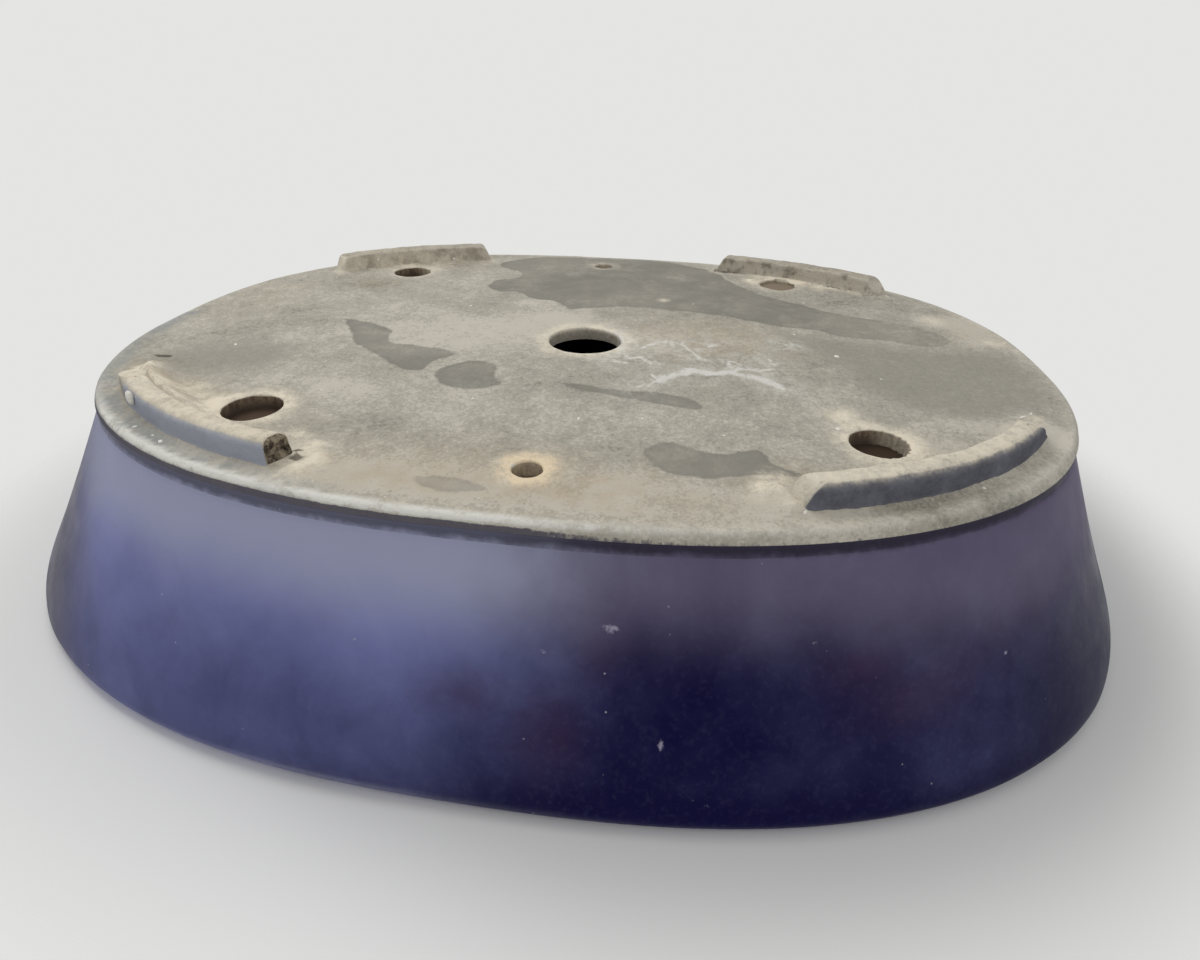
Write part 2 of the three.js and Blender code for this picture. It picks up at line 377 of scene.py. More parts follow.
# Warm brown clouds, given the same way
WARM_CLOUDS = [
    (-45, 5, 30, 20, 0.7), (112, -66, 18, 9, 1.0), (126, -52, 10, 8, 0.7), (97, 48, 12, 9, 0.5),
    (0, -92, 40, 12, 0.6), (90, -80, 30, 12, 0.5), (-75, -85, 18, 8, 0.7), (80, 85, 20, 10, 0.4),
    (-80, 88, 24, 10, 0.5), (60, -100, 40, 8, 0.5), (-100, -70, 12, 10, 0.4), (-138, 30, 10, 18, 0.4),
    (130, 20, 14, 30, 0.3), (-20, -100, 60, 8, 0.5),
]

# Smooth grey zones with soft borders
GREY_ZONES = [
    [(-72, 17), (-90, 14), (-118, 9), (-144, 11), (-148, -9), (-144, -29), (-130, -41), (-112, -44),
     (-96, -29), (-86, -9), (-76, 4)],
    [(128, -38), (115, -27), (95, -25), (86, -36), (90, -49), (108, -54), (124, -49)],
]

# White mineral veins: the lines they follow, and the crust of mineral beside them
VEINS = [
    [(-14, 6), (-18, -1), (-18, -8), (-21, -17), (-25, -15), (-29, -20)],
    [(-14, -15), (-17, -21), (-21, -21)],
    [(-24, -7), (-28, -2), (-34, 1), (-39, -3), (-42, -9), (-45, -14), (-48, -15)],
    [(-54, -20), (-53, -14), (-56, -13), (-57, -17), (-55, -22)],
    [(-26, -40), (-33, -33), (-30, -29)],
    [(-57, -19), (-63, -20), (-68, -18)],
    [(-66, -10), (-68, -14)],
    [(-47, -1), (-49, 1)],
    [(-71, 6), (-74, 4)],
]
CRUST = [(-33, -33), (-42, -23), (-47, -25), (-54, -23), (-57, -24), (-63, -26), (-66, -29), (-69, -32)]

# Middle of the faint stain near the front edge
FAINT_STAIN = (10, -101)

# A stain is stored as the depth inside its outline plus this reach, so that 0 is well outside it
STAIN_REACH = 8.0

# Small lumps and hollows where the feet were luted on: place, reach and height towards the ground
LUMPS = [
    (50, -89, 3, 0.8), (47, -92, 2.5, 1.2), (45, -97, 3, 0.7), (48, -101, 2.5, 1.4), (51, -105, 3, 0.9),
    (-62, -93, 4, 1.8), (-63, -86, 5, 1.4), (-66, -99, 3, 1.4), (-58, -90, 3, 0.6), (-136, -41, 5, 0.6),
    (-64, 84, 3, 0.5), (-96, 73, 4, 0.8), (-90, 66, 3, 0.5), (-100, 68, 3, 0.7), (-70, 72, 3, 0.4),
    (-86, 74, 5, 0.6), (125, -42, 1.5, -0.4), (128, -42, 1.5, -0.4), (-83, -47, 2, -0.2),
    (-92, -52, 2, -0.2),
]

# Pale smears of luting slip: place and reach
PALE_SMEARS = [
    (56, -84, 4), (48, -90, 4), (45, -97, 4), (49, -103, 5), (-60, -93, 4), (-63, -86, 5), (-136, -42, 4),
    (-64, 84, 4), (-94, 76, 5), (-84, -48, 6), (-130, 41, 5), (-145, 20, 4), (-28, 48, 3), (122, -57, 5),
    (-75, 91, 4), (-84, 86, 4), (100, -66, 8), (-98, -64, 5), (88, -73, 6),
]

# Dark marks: a scratch at one end of a front foot and two spots at its other end, given like the clouds
DARK_MARKS = [(126.5, -42, 3.6, 1.1, 1.1), (50, -96, 1.6, 1.6, 1), (51.5, -93, 1.2, 1.2, 1)]

# Painted shadow in the gaps along the inner side of one rear foot: place along x, reach and strength
FOOT_SHADOWS = [(-54, 9, 0.85), (-98, 7, 0.68)]

# Luting clay round the feet, and the height of the smear beside one front foot
LUTING_HEIGHT = 0.75
LUTING_REACH = 2.6
SMEAR_HEIGHT = 5.8

# Strength of the pale halo round each hole
HALO_STRENGTH = {"wire_front": 1.15, "centre": 0.85, "front_left": 0.85, "front_right": 0.85}
REAR_HALO = 0.5

# Holes whose tubes get pale painted light: all round, and on the left side only; in one rear hole the pale is
# also clay smeared into it
PALE_LIT_TUBES = ("rear_left", "wire_front", "wire_rear")
HALF_PALE_LIT_TUBES = ("front_left", "rear_right")


def spot(flat, x, y, reach_x, reach_y):
    """A soft spot on the plan: 1 at its middle, and fading out over its reach."""
    return np.exp(-((flat[:, 0] - x) / reach_x) ** 2 - ((flat[:, 1] - y) / reach_y) ** 2)


def cloud_sum(flat, clouds):
    return sum(strength * spot(flat, *place) for *place, strength in clouds)


def vein_mask(flat, veins, reach):
    nearest = np.min([distance_to_path(flat, np.array(vein, float)) for vein in veins], axis=0)
    return np.exp(-(nearest / reach) ** 2)


# Node graphs

# How much the clay and the glaze mirror, and how strongly the glaze bends light
MATT_GLOSS = 0.25
GLAZE_GLOSS = 0.09
GLAZE_IOR = 1.45


class Value:
    """An output in a node tree; sums, differences and products of values add the nodes for them."""

    def __init__(self, graph, socket):
        self.graph = graph
        self.socket = socket

    def __add__(self, other):
        return self.graph.math("ADD", self, other)

    def __sub__(self, other):
        return self.graph.math("SUBTRACT", self, other)

    def __rsub__(self, other):
        return self.graph.math("SUBTRACT", other, self)

    def __mul__(self, other):
        return self.graph.math("MULTIPLY", self, other)

    def centred(self, reach):
        """A noise value moved to lie evenly about 0, over a given reach."""
        return (self - 0.5) * reach

    def ramp(self, low, high, to_low=0.0, to_high=1.0):
        limits = {"From Min": low, "From Max": high, "To Min": to_low, "To Max": to_high}
        return self.graph.value("MapRange", {"Value": self, **limits}, interpolation_type="SMOOTHSTEP")

    def tinted(self, share, color):
        return self.graph.mix(share, self, color)


class Graph:
    """Fills the node tree of a material or a world."""

    def __init__(self, owner):
        owner.use_nodes = True
        self.owner = owner
        self.tree = owner.node_tree
        self.tree.nodes.clear()

    def add(self, kind, inputs, **settings):
        node = self.tree.nodes.new("ShaderNode" + kind)
        for key, value in settings.items():
            setattr(node, key, value)
        for key, value in inputs.items():
            if isinstance(value, Value):
                self.tree.links.new(value.socket, node.inputs[key])
            else:
                node.inputs[key].default_value = value
        return node

    def value(self, kind, inputs, output=0, **settings):
        return Value(self, self.add(kind, inputs, **settings).outputs[output])

    def math(self, operation, first, second, **settings):
        return self.value("Math", {0: first, 1: second}, operation=operation, **settings)

    def vector(self, operation, first, second):
        other = "Scale" if operation == "SCALE" else 1
        return self.value("VectorMath", {0: first, other: second}, operation=operation)

    @functools.cached_property
    def place(self):
        """Where a point lies on the object, in millimetres."""
        return self.vector("SCALE", self.value("TexCoord", {}, "Object"), 1 / MM)

    def stored(self, name):
        return self.value("Attribute", {}, "Fac", attribute_name=name)

    def stretched(self, x, y, z):
        return self.vector("MULTIPLY", self.place, (x, y, z))

    def noise(self, wavelength, detail=4, roughness=0.55, distortion=0.0, seed=0, place=None):
        inputs = {"Vector": place or self.place, "W": seed, "Scale": 1 / wavelength}
        inputs |= {"Detail": detail, "Roughness": roughness, "Distortion": distortion}
        return self.value("TexNoise", inputs, "Fac", noise_dimensions="4D")

    def cells(self, wavelength, feature="F1", place=None):
        inputs = {"Vector": place or self.place, "Scale": 1 / wavelength}
        return self.value("TexVoronoi", inputs, "Distance", feature=feature)

    def bent_place(self, wavelength, reach):
        """Coordinates shaken by noise, so that cells get crooked edges."""
        shaken = self.value("TexNoise", {"Vector": self.place, "Scale": 1 / wavelength, "Detail": 3}, "Color")
        offset = self.vector("SCALE", self.vector("SUBTRACT", shaken, (0.5, 0.5, 0.5)), reach)
        return self.vector("ADD", self.place, offset)

    def mix(self, share, first, second):
        """One colour over another; sockets 6, 7 and 2 are the node's colours."""
        return self.value("Mix", {"Factor": share, 6: first, 7: second}, 2, data_type="RGBA")

    def bump(self, height, strength, depth, below=None):
        """Unevenness of a depth in millimetres, on top of another one."""
        inputs = {"Height": height, "Strength": strength, "Distance": depth * MM}
        if below is not None:
            inputs["Normal"] = below
        return self.value("Bump", inputs, "Normal")

    def shader(self, kind, **inputs):
        return self.value(kind, {name.replace("_", " "): value for name, value in inputs.items()})

    def mix_shaders(self, share, first, second):
        return self.value("MixShader", {0: share, 1: first, 2: second})

    def finish(self, shader, kind="OutputMaterial"):
        self.add(kind, {"Surface": shader})
        return self.owner

    def finish_surface(self, color, roughness, normal, gloss=MATT_GLOSS, **more):
        inputs = {"Base_Color": color, "Roughness": roughness, "Normal": normal, "Specular_IOR_Level": gloss}
        return self.finish(self.shader("BsdfPrincipled", **inputs, **more))


def new_material(name):
    return Graph(bpy.data.materials.new(name))


def linear(red, green, blue):
    """A colour as a screen shows it, 0 to 255, as the linear value that a shader takes."""
    values = []
    for share in (red / 255, green / 255, blue / 255):
        values.append(share / 12.92 if share <= 0.04045 else ((share + 0.055) / 1.055) ** 2.4)
    return (*values, 1.0)


CLAY_LIGHT = linear(208, 202, 188)
CLAY_MID = linear(180, 175, 162)
CLAY_DARK = linear(146, 142, 131)
CLAY_GREY = linear(152, 149, 138)
CLAY_COOL = linear(152, 155, 154)
CLAY_WARM = linear(186, 166, 137)
CLAY_CREAM = linear(244, 233, 211)
CLAY_GOLDEN = linear(244, 224, 190)
STAIN = linear(152, 148, 138)
STAIN_DARK = linear(138, 135, 126)
STAIN_RIM = linear(120, 118, 111)
SLATE = linear(80, 82, 94)
SLATE_PALE = linear(166, 171, 184)
MINERAL = linear(232, 230, 222)
LIME = linear(250, 246, 234)
DIRT = linear(92, 80, 66)
GRIME = linear(118, 106, 93)
DARK_BROWN_AND_SHADE = linear(66, 57, 50)
RUBBLE = linear(172, 158, 136)
SOIL_DARK = linear(98, 80, 62)
SOIL_PALE = linear(190, 168, 138)
# Painted shade: the gloom deep in the tubes and behind some holes
GLOOM = linear(92, 77, 66)
GLAZE_SPLASH = linear(80, 77, 90)
NAVY = linear(8, 4, 56)
COBALT = linear(124, 130, 186)
PLUM = linear(60, 36, 66)
FILM_AND_SHEEN = linear(107, 99, 124)
FILM_AND_SHEEN_PALE = linear(168, 171, 194)
BAND = linear(58, 54, 70)
BAND_PALE = linear(92, 93, 112)
GLAZE_GREY = linear(74, 71, 88)
SPECKLE = linear(150, 150, 182)
SCUFF = linear(176, 172, 192)
FLECK = linear(200, 198, 206)


def clay_colors(graph, shade, calm=None):
    """Mottled stoneware, light to dark by shade and less patchy where calm, with salt and dark specks."""
    patches = graph.noise(11, 6, 0.66, 0.4, seed=2).centred(1.5)
    if calm is not None:
        patches = patches * (1.0 - calm * 0.75)
    grain = graph.noise(0.9, 3, 0.75, seed=3)
    tone = graph.noise(46, 5, 0.6, 0.4, seed=1).centred(0.9) + shade + patches
    tone = tone + graph.noise(2.6, 4, 0.7, seed=5).centred(1.2) + grain.centred(2.0)
    color = graph.mix(tone.ramp(-0.55, 0.05), CLAY_LIGHT, CLAY_MID)
    color = color.tinted(tone.ramp(0.0, 0.65), CLAY_DARK)
    specks = graph.cells(2.6).ramp(0.13, 0.07) * graph.noise(9, 2, seed=4).ramp(0.5, 0.6)
    color = color.tinted(specks * 0.5, DIRT)
    salt = graph.cells(1.9).ramp(0.2, 0.1) * graph.noise(6, 3, seed=6).ramp(0.5, 0.66)
    return color.tinted(salt * 0.55, CLAY_CREAM), grain


def underside_clay():
    """Bare clay of the underside, with stains, halos round the holes and mineral veins, and painted light and
    shade: a highlight along the edge, shadow beside a foot, and light and gloom in the tubes.
    """
    graph = new_material("underside_clay")
    grey = (graph.stored("grey") + graph.noise(13, 4, 0.6, seed=16).centred(0.5)).ramp(0.2, 0.9)
    color, grain = clay_colors(graph, graph.stored("shade"), grey)
    color = color.tinted(grey * 0.6, CLAY_GREY)
    warmth = graph.stored("warm") * graph.noise(8, 5, 0.65, seed=7).ramp(0.2, 0.75)
    color = color.tinted(warmth * 0.7, CLAY_WARM)
    cool = graph.stored("cool") * graph.noise(7, 4, 0.6, seed=17).ramp(0.3, 0.6)
    color = color.tinted(cool * 0.65, CLAY_COOL)

    stain_edge = graph.stored("stain") + graph.noise(7, 8, 0.75, seed=8).centred(6.0)
    stained = stain_edge.ramp(STAIN_REACH - 0.5, STAIN_REACH + 0.7)
    stain_tone = graph.mix(graph.noise(16, 5, 0.6, seed=9).ramp(0.35, 0.7), STAIN, STAIN_DARK)
    strength = graph.noise(14, 7, 0.75, seed=10).ramp(0.33, 0.56, 0.55, 0.95) * graph.stored("faded")
    color = color.tinted(stained * strength, stain_tone)
    outline = stained * stain_edge.ramp(STAIN_REACH + 2.5, STAIN_REACH + 0.4)
    color = color.tinted(outline * 0.16, STAIN_RIM)

    halo = graph.stored("halo") * graph.noise(6, 10, 0.85, seed=11).ramp(0.36, 0.64, 0.4, 1.5)
    halo_tone = graph.mix(graph.stored("golden"), CLAY_CREAM, CLAY_GOLDEN)
    color = color.tinted(halo.ramp(0.05, 1.25, 0, 0.95), halo_tone)
    lime = graph.stored("halo") * graph.noise(2.4, 7, 0.8, seed=20).ramp(0.56, 0.68)
    color = color.tinted(lime * 0.8, MINERAL)

    # Mineral that has come out of the clay: fine crackle, a bloom, and the main veins on top
    crooked = graph.bent_place(9, 5)
    crackle = graph.cells(8.5, "DISTANCE_TO_EDGE", crooked).ramp(0.11, 0.02)
    fine_crackle = graph.cells(3.6, "DISTANCE_TO_EDGE", crooked).ramp(0.12, 0.02)
    crackle = graph.math("MAXIMUM", crackle, fine_crackle * 0.6)
    crackle = crackle * graph.noise(5, 5, 0.7, seed=12).ramp(0.4, 0.6) * graph.stored("mineral")
    bloom = graph.stored("mineral") * graph.noise(3, 5, 0.75, seed=13).ramp(0.46, 0.66)
    vein = graph.stored("vein") + graph.noise(2.6, 6, 0.8, seed=54).centred(2.2)
    vein = vein.ramp(0.35, 0.95, 0, 0.9) * graph.stored("vein").ramp(0.1, 0.4)
    color = color.tinted(graph.math("MAXIMUM", crackle * 0.5 + bloom * 0.4, vein), MINERAL)

    # Dark marks, and painted shadow beside one rear foot, in a dark brown
    marks_and_shadow = graph.stored("marks_and_shadow") + graph.noise(2.5, 5, 0.75, seed=14).centred(1.1)
    marks_and_shadow = marks_and_shadow.ramp(0.3, 0.6) * graph.stored("marks_and_shadow").ramp(0.05, 0.3)
    color = color.tinted(marks_and_shadow * 0.75, DARK_BROWN_AND_SHADE)
    ridges = graph.noise(1.3, 5, 0.7, seed=19, place=graph.stretched(1, 1, 0.2))
    soil_tone = graph.mix(ridges.ramp(0.38, 0.58), SOIL_DARK, SOIL_PALE)
    soil_tone = soil_tone.tinted(graph.stored("gloom"), GLOOM)
    color = color.tinted(graph.stored("soil"), soil_tone)
    # Painted highlight along the rounded bead of the edge
    bead_highlight = graph.stored("bead_highlight") * graph.noise(4, 6, 0.75, seed=29).ramp(0.3, 0.6, 0.2, 1)
    color = color.tinted(bead_highlight * 0.8, MINERAL)
    drips = graph.noise(2.2, 6, 0.8, seed=18, place=graph.stretched(1, 1, 0.7))
    spots = graph.stored("brink") + drips.centred(2.4)
    color = color.tinted(spots.ramp(0.9, 1.5, 0, 0.9), GLAZE_SPLASH)

    normal = graph.bump(grain, 0.9, 0.35)
    normal = graph.bump(graph.cells(3.3).ramp(0.0, 0.16), 0.5, 0.3, normal)
    normal = graph.bump(graph.noise(5, 5, 0.65, seed=15), 0.8, 0.7, normal)
    normal = graph.bump(crackle, 0.5, 0.35, normal)
    return graph.finish_surface(color, 0.92 - stained * 0.14, normal)


def foot_clay():
    """Clay of the feet: slate-coloured outer sides, pale worn edges, standing faces worn and painted lighter
    on the front feet and painted darker on the rear ones, and inner sides painted lighter: painted light and
    shade.
    """
    graph = new_material("foot_clay")
    patches = graph.noise(11, 7, 0.72, seed=28)
    mottle = graph.stored("mottle")
    color, grain = clay_colors(graph, graph.stored("shade") + mottle * patches.centred(3.2))
    warmth = graph.stored("warm") * graph.noise(7, 5, 0.65, seed=24).ramp(0.3, 0.65)
    color = color.tinted(warmth * 0.7, CLAY_WARM)
    soot = (graph.stored("soot") + graph.noise(5, 5, 0.65, seed=21).centred(0.7)).ramp(0.3, 0.75)
    paleness = graph.stored("pale") + (graph.noise(8, 6, 0.7, seed=22).centred(1.0) + grain.centred(0.45))
    color = color.tinted(soot * 0.94, graph.mix(paleness, SLATE, SLATE_PALE))
    # Pale worn clay; the same colour also carries painted light on some faces
    wear_and_light = graph.stored("worn") * graph.noise(3.2, 7, 0.8, seed=23).ramp(0.3, 0.62)
    color = color.tinted(wear_and_light * 0.6, CLAY_CREAM)
    color = color.tinted(mottle * patches.ramp(0.46, 0.6, 0, 0.75), GRIME)
    # The broken end: rough broken clay, painted dark brown also as the shade in its hollow, with paler rubble
    broken = graph.stored("broken") + graph.noise(3.2, 5, 0.7, seed=26).centred(1.5)
    rubble = graph.mix(graph.noise(3, 5, 0.75, seed=27).ramp(0.42, 0.62), DARK_BROWN_AND_SHADE, RUBBLE)
    color = color.tinted(broken.ramp(0.3, 0.5), rubble)
    normal = graph.bump(graph.noise(4, 5, 0.65, seed=25), 0.8, 0.8, graph.bump(grain, 0.6, 0.3))
    return graph.finish_surface(color, 0.9, normal)


def inside_clay():
    """Bare clay inside the pot, with water lines, root stains and a little lime."""
    graph = new_material("inside_clay")
    color, grain = clay_colors(graph, graph.stored("shade"))
    tide = graph.noise(26, 5, 0.6, seed=31, place=graph.stretched(1, 1, 3))
    color = color.tinted(tide.ramp(0.5, 0.72, 0, 0.55), CLAY_WARM)
    roots = graph.noise(17, 5, 0.65, seed=32)
    color = color.tinted(roots.ramp(0.6, 0.75, 0, 0.5), CLAY_DARK)
    lime = graph.noise(2.2, 4, 0.75, seed=33, place=graph.stretched(1, 1, 2))
    color = color.tinted(lime.ramp(0.62, 0.72) * 0.5, CLAY_CREAM)
    marks = graph.noise(7, 3, 0.5, seed=34, place=graph.stretched(0.35, 0.35, 2.2))
    normal = graph.bump(marks, 0.6, 0.8, graph.bump(grain, 0.5, 0.3))
    return graph.finish_surface(color, 0.92, normal)


def blue_glaze():
    """Cobalt glaze: dark navy on one side and paler blue on the other, the paler side in part painted light,
    under a grey film near the base that is in large part a painted sheen.
    """
    graph = new_material("blue_glaze")
    broad = graph.noise(60, 4, 0.55, 0.5, seed=41).centred(0.75)
    soft = graph.noise(17, 5, 0.62, 0.5, seed=42).centred(0.4)
    # The paler blue is in part painted light
    pale = graph.stored("pale") + broad + soft
    color = graph.mix(pale.ramp(-0.05, 1.2), NAVY, COBALT)
    plum = graph.stored("plum") + graph.noise(14, 5, 0.7, 0.8, seed=43).centred(1.2)
    color = color.tinted(plum.ramp(0.1, 1.4, 0, 0.6), PLUM)

    # Grey film near the base, in large part a painted sheen of reflected light
    film = graph.stored("film") + graph.noise(36, 5, 0.6, 0.5, seed=44).centred(0.55)
    film = film.ramp(0.0, 1.05)
    color = color.tinted(film * 0.85, graph.mix(pale.ramp(0.0, 0.95), FILM_AND_SHEEN, FILM_AND_SHEEN_PALE))
    # Dark band over the bare edge: in part darker glaze, in part painted shadow under the edge
    band = graph.stored("band") + graph.noise(5, 4, 0.65, seed=45).centred(0.6)
    color = color.tinted(band.ramp(0.35, 0.75), graph.mix(pale.ramp(0.2, 0.9), BAND, BAND_PALE))
    color = color.tinted(graph.stored("greyed") * 0.92, GLAZE_GREY)
    color = color.tinted(graph.noise(1.6, 3, 0.7, seed=53).centred(0.16), SPECKLE)

    scuffs = graph.stored("scuff") + graph.noise(2.6, 4, 0.75, seed=46).centred(1.6)
    color = color.tinted(scuffs.ramp(0.75, 1.05, 0, 0.7), SCUFF)
    flecks = graph.cells(5.2).ramp(0.06, 0.03) * graph.noise(20, 2, seed=50).ramp(0.5, 0.6)
    color = color.tinted(flecks * 0.5, FLECK)

    roughness = graph.noise(14, 4, 0.6, seed=47).ramp(0.3, 0.7, 0.3, 0.44) + film * 0.15
    normal = graph.bump(graph.noise(9, 3, 0.5, seed=48), 0.35, 0.5)
    normal = graph.bump(graph.noise(1.2, 2, 0.5, seed=49), 0.12, 0.12, normal)
    return graph.finish_surface(color, roughness, normal, GLAZE_GLOSS, IOR=GLAZE_IOR)


def white_lime():
    graph = new_material("white_lime")
    color = graph.mix(graph.noise(0.8, 3, seed=51).ramp(0.35, 0.7), LIME, MINERAL)
    return graph.finish_surface(color, 0.85, graph.bump(graph.noise(0.6, 3, seed=52), 0.5, 0.2))


# Base slab: flat underside and inner floor, a rounded bare edge, and the tubes of the holes

def hole_ring(name, count, extra, z, seed):
    """One ring of a hole, wider by extra, with the unevenness of a hole cut by hand."""
    centre, radius, ragged = HOLES[name]
    round_way = unit_circle(count)
    path = lifted(round_way * radius, z * 0.6)
    reach = radius + extra + ragged * (wobble(path, radius * 0.7, seed) + 0.5 * wobble(path, 2.2, seed + 3))
    # One front hole has small cut marks on its left side
    if name == "front_left":
        angle = np.arange(count) * 2 * np.pi / count
        on_side = smooth_step(-round_way[:, 0], -0.1, 0.4)
        reach = reach + CUT_DEPTH * on_side * np.sin(CUT_MARKS * angle)
    # Clay was smeared down into one rear hole from its left side
    if name == "rear_left":
        smeared = smooth_step(-round_way[:, 0], -0.2, 0.9) * smooth_step(z, SLAB_TOP - 1, SLAB_BOTTOM + 0.5)
        reach = reach - smeared * (1.2 + 0.8 * wobble(path, 2.5, seed + 5))
    return centre + round_way * reach[:, None]


def hole_rings(name):
    """The rings of a hole, from the underside through to the inner floor."""
    count = int(round(2 * math.pi * HOLES[name][1] / HOLE_POINT_SPACING / 4)) * 4
    levels = []
    for angle in [0, *quarter_turn(4)]:
        levels.append((HOLE_RIM * (1 - math.sin(angle)), SLAB_BOTTOM + HOLE_RIM * (1 - math.cos(angle))))
    start = SLAB_BOTTOM + HOLE_RIM
    end = SLAB_TOP - HOLE_RIM_INSIDE
    levels += [(0, z) for z in np.linspace(start, end, HOLE_LEVELS)[1:]]
    for angle in quarter_turn(3):
        levels.append((HOLE_RIM_INSIDE * (1 - math.cos(angle)), end + HOLE_RIM_INSIDE * math.sin(angle)))
    seed = 2 + list(HOLES).index(name)
    return [lifted(hole_ring(name, count, extra, z, seed), z) for extra, z in levels]


def hex_grid(spacing):
    half = EDGE_HALF + spacing
    rows = np.arange(-half[1], half[1], spacing * math.sqrt(3) / 2)
    grid = []
    for i, y in enumerate(rows):
        x = np.arange(-half[0], half[0], spacing) + (i % 2) * spacing / 2 + BASE_SHIFT
        grid.append(np.column_stack([x, np.full(len(x), y)]))
    return np.concatenate(grid)


def add_plate(maker, edge, rings, z, spacing):
    """Fills the space between an edge and the hole rings with even triangles."""
    grid = hex_grid(spacing)
    keep = depth_inside(grid, edge[::3]) > spacing * 0.7
    for ring in rings:
        keep &= depth_inside(grid, ring[:, :2]) < -spacing * 0.6
    loops = [edge] + [ring[:, :2] for ring in rings]
    flat = np.concatenate(loops + [grid[keep]])
    borders = []
    starts = np.cumsum([0] + [len(loop) for loop in loops])
    for start, loop in zip(starts, loops):
        borders += [(int(start + i), int(start + (i + 1) % len(loop))) for i in range(len(loop))]
    found = delaunay_2d_cdt([Vector(point) for point in flat], borders, [], 0, 1e-5, True)
    source = [origins[0] for origins in found[3]]
    faces = np.array([[source[index] for index in face] for face in found[2]])
    middles = flat[faces].mean(axis=1)
    wanted = np.ones(len(faces), bool)
    for loop in loops[1:]:
        wanted &= depth_inside(middles, loop) < 0
    indices = maker.add(lifted(flat, z))
    maker.faces += (faces[wanted] + indices[0]).tolist()
    return [indices[start:start + len(loop)] for start, loop in zip(starts, loops)]


def foot_points(name, along, inset, drop):
    """Points of a foot by their share of its length, their inset and how far they are below the root."""
    bearing, length, inner_run, outer_run = FEET[name]
    fine = np.linspace(0, 1, 4001)
    lengths = lengths_along(base_oval(fine, FOOT_INSET + FOOT_WIDTH / 2))
    middle = np.interp(turn_at_bearing(bearing), fine, lengths)
    starts_at_tip = math.tan(math.radians(bearing)) > 0
    start_run, end_run = (outer_run, inner_run) if starts_at_tip else (inner_run, outer_run)
    low = middle - length / 2 + start_run * drop
    high = middle + length / 2 - end_run * drop
    return base_oval(np.interp(low + (high - low) * along, lengths, fine), inset)


def foot_outline(name):
    """The plan of a foot at its root."""
    along = np.linspace(0, 1, 40)
    outer = foot_points(name, along, FOOT_INSET, 0)
    inner = foot_points(name, along[::-1], FOOT_INSET + FOOT_WIDTH, 0)
    return np.concatenate([outer, inner])


def edge_rings():
    """The bare clay edge, from the underside to the line where the glaze starts."""
    rings = []
    for angle in quarter_turn(EDGE_ROUNDS):
        ring = base_oval(TURNS, -EDGE_BULGE * math.sin(angle))
        rings.append(lifted(ring, SLAB_BOTTOM + EDGE_HEIGHT * (1 - math.cos(angle))))
    for inset, rise in EDGE_TURN_IN:
        rings.append(lifted(pot_oval(TURNS, 0, inset), SLAB_SIDE + rise))
    return rings


def slab_mesh():
    """Underside, inner floor, edge and tubes, still even."""
    maker = MeshMaker()
    tubes = [hole_rings(name) for name in HOLES]
    underside = add_plate(maker, base_oval(TURNS, 0), [tube[0] for tube in tubes], SLAB_BOTTOM, PLATE_SPACING)
    top_edge = pot_oval(TURNS, 0, CLAY_INSET)
    floor = add_plate(maker, top_edge, [tube[-1] for tube in tubes], SLAB_TOP, FLOOR_SPACING)
    sides = maker.loft(edge_rings())
    maker.bridge(underside[0], sides[0])
    maker.bridge(sides[-1], floor[0])
    for tube, first, last in zip(tubes, underside[1:], floor[1:]):
        inner = maker.loft(tube[1:-1])
        maker.bridge(first, inner[0])
        maker.bridge(inner[-1], last)
    return maker


def make_uneven(points, edge_depth, foot_gaps):
    """Moves the points of the underside and its edge, as hand work and wear have done."""
    flat = points[:, :2]
    near_foot = np.min(list(foot_gaps.values()), axis=0)
    rise = 0.16 * wobble(points, 31, 4) + 0.1 * wobble(points, 9, 5) + 0.04 * wobble(points, 3, 6)
    rise -= LUTING_HEIGHT * np.clip(1 - near_foot / LUTING_REACH, 0, 1) ** 2
    # The tip of one front foot was smeared down onto the slab along its inner side
    smeared = smooth_step(-flat[:, 1], 44, 66) * smooth_step(flat[:, 0], 76, 96)
    smeared *= smooth_step(edge_depth, FOOT_INSET + 0.5 * FOOT_WIDTH, FOOT_INSET + FOOT_WIDTH + 1)
    rise -= SMEAR_HEIGHT * smeared * smooth_step(foot_gaps["foot_front_right"], 8, -1)
    for x, y, reach, height in LUMPS:
        rise -= height * spot(flat, x, y, reach, reach)
    bend = 0.25 * wobble(points, 40, 7) + 0.12 * wobble(points, 8, 8)
    below = points[:, 2] < SLAB_SIDE
    low = smooth_step(points[:, 2], SLAB_BOTTOM + 1.5, SLAB_BOTTOM)
    points[:, 2] += np.where(below, rise * low, 0)
    outward = smooth_step(edge_depth, 0, -EDGE_BULGE) * below
    spoke = flat - MIDDLE
    points[:, :2] -= spoke * (outward * (0.3 + bend) / np.hypot(*spoke.T))[:, None]


def around_holes(flat):
    """How strong the halo of the nearest hole is."""
    strongest = np.zeros(len(flat))
    for name, (centre, radius, _) in HOLES.items():
        gap = np.maximum(distance(flat, centre) - radius, 0)
        strength = HALO_STRENGTH.get(name, REAR_HALO)
        strongest = np.maximum(strongest, strength * np.exp(-(gap / (4.4 + radius * 0.12)) ** 2))
    return strongest


def painted_lit_tube_sides(flat):
    """The sides of the tubes that get pale painted light: all round in three of the holes, on the left in two
    others.
    """
    lit = np.zeros(len(flat))
    for name in PALE_LIT_TUBES + HALF_PALE_LIT_TUBES:
        centre, radius, _ = HOLES[name]
        offset = (flat - centre) / radius
        side = 0.9 if name in PALE_LIT_TUBES else smooth_step(-offset[:, 0], -0.2, 0.5)
        lit = np.maximum(lit, (np.hypot(*offset.T) < 1.3) * side)
    return lit


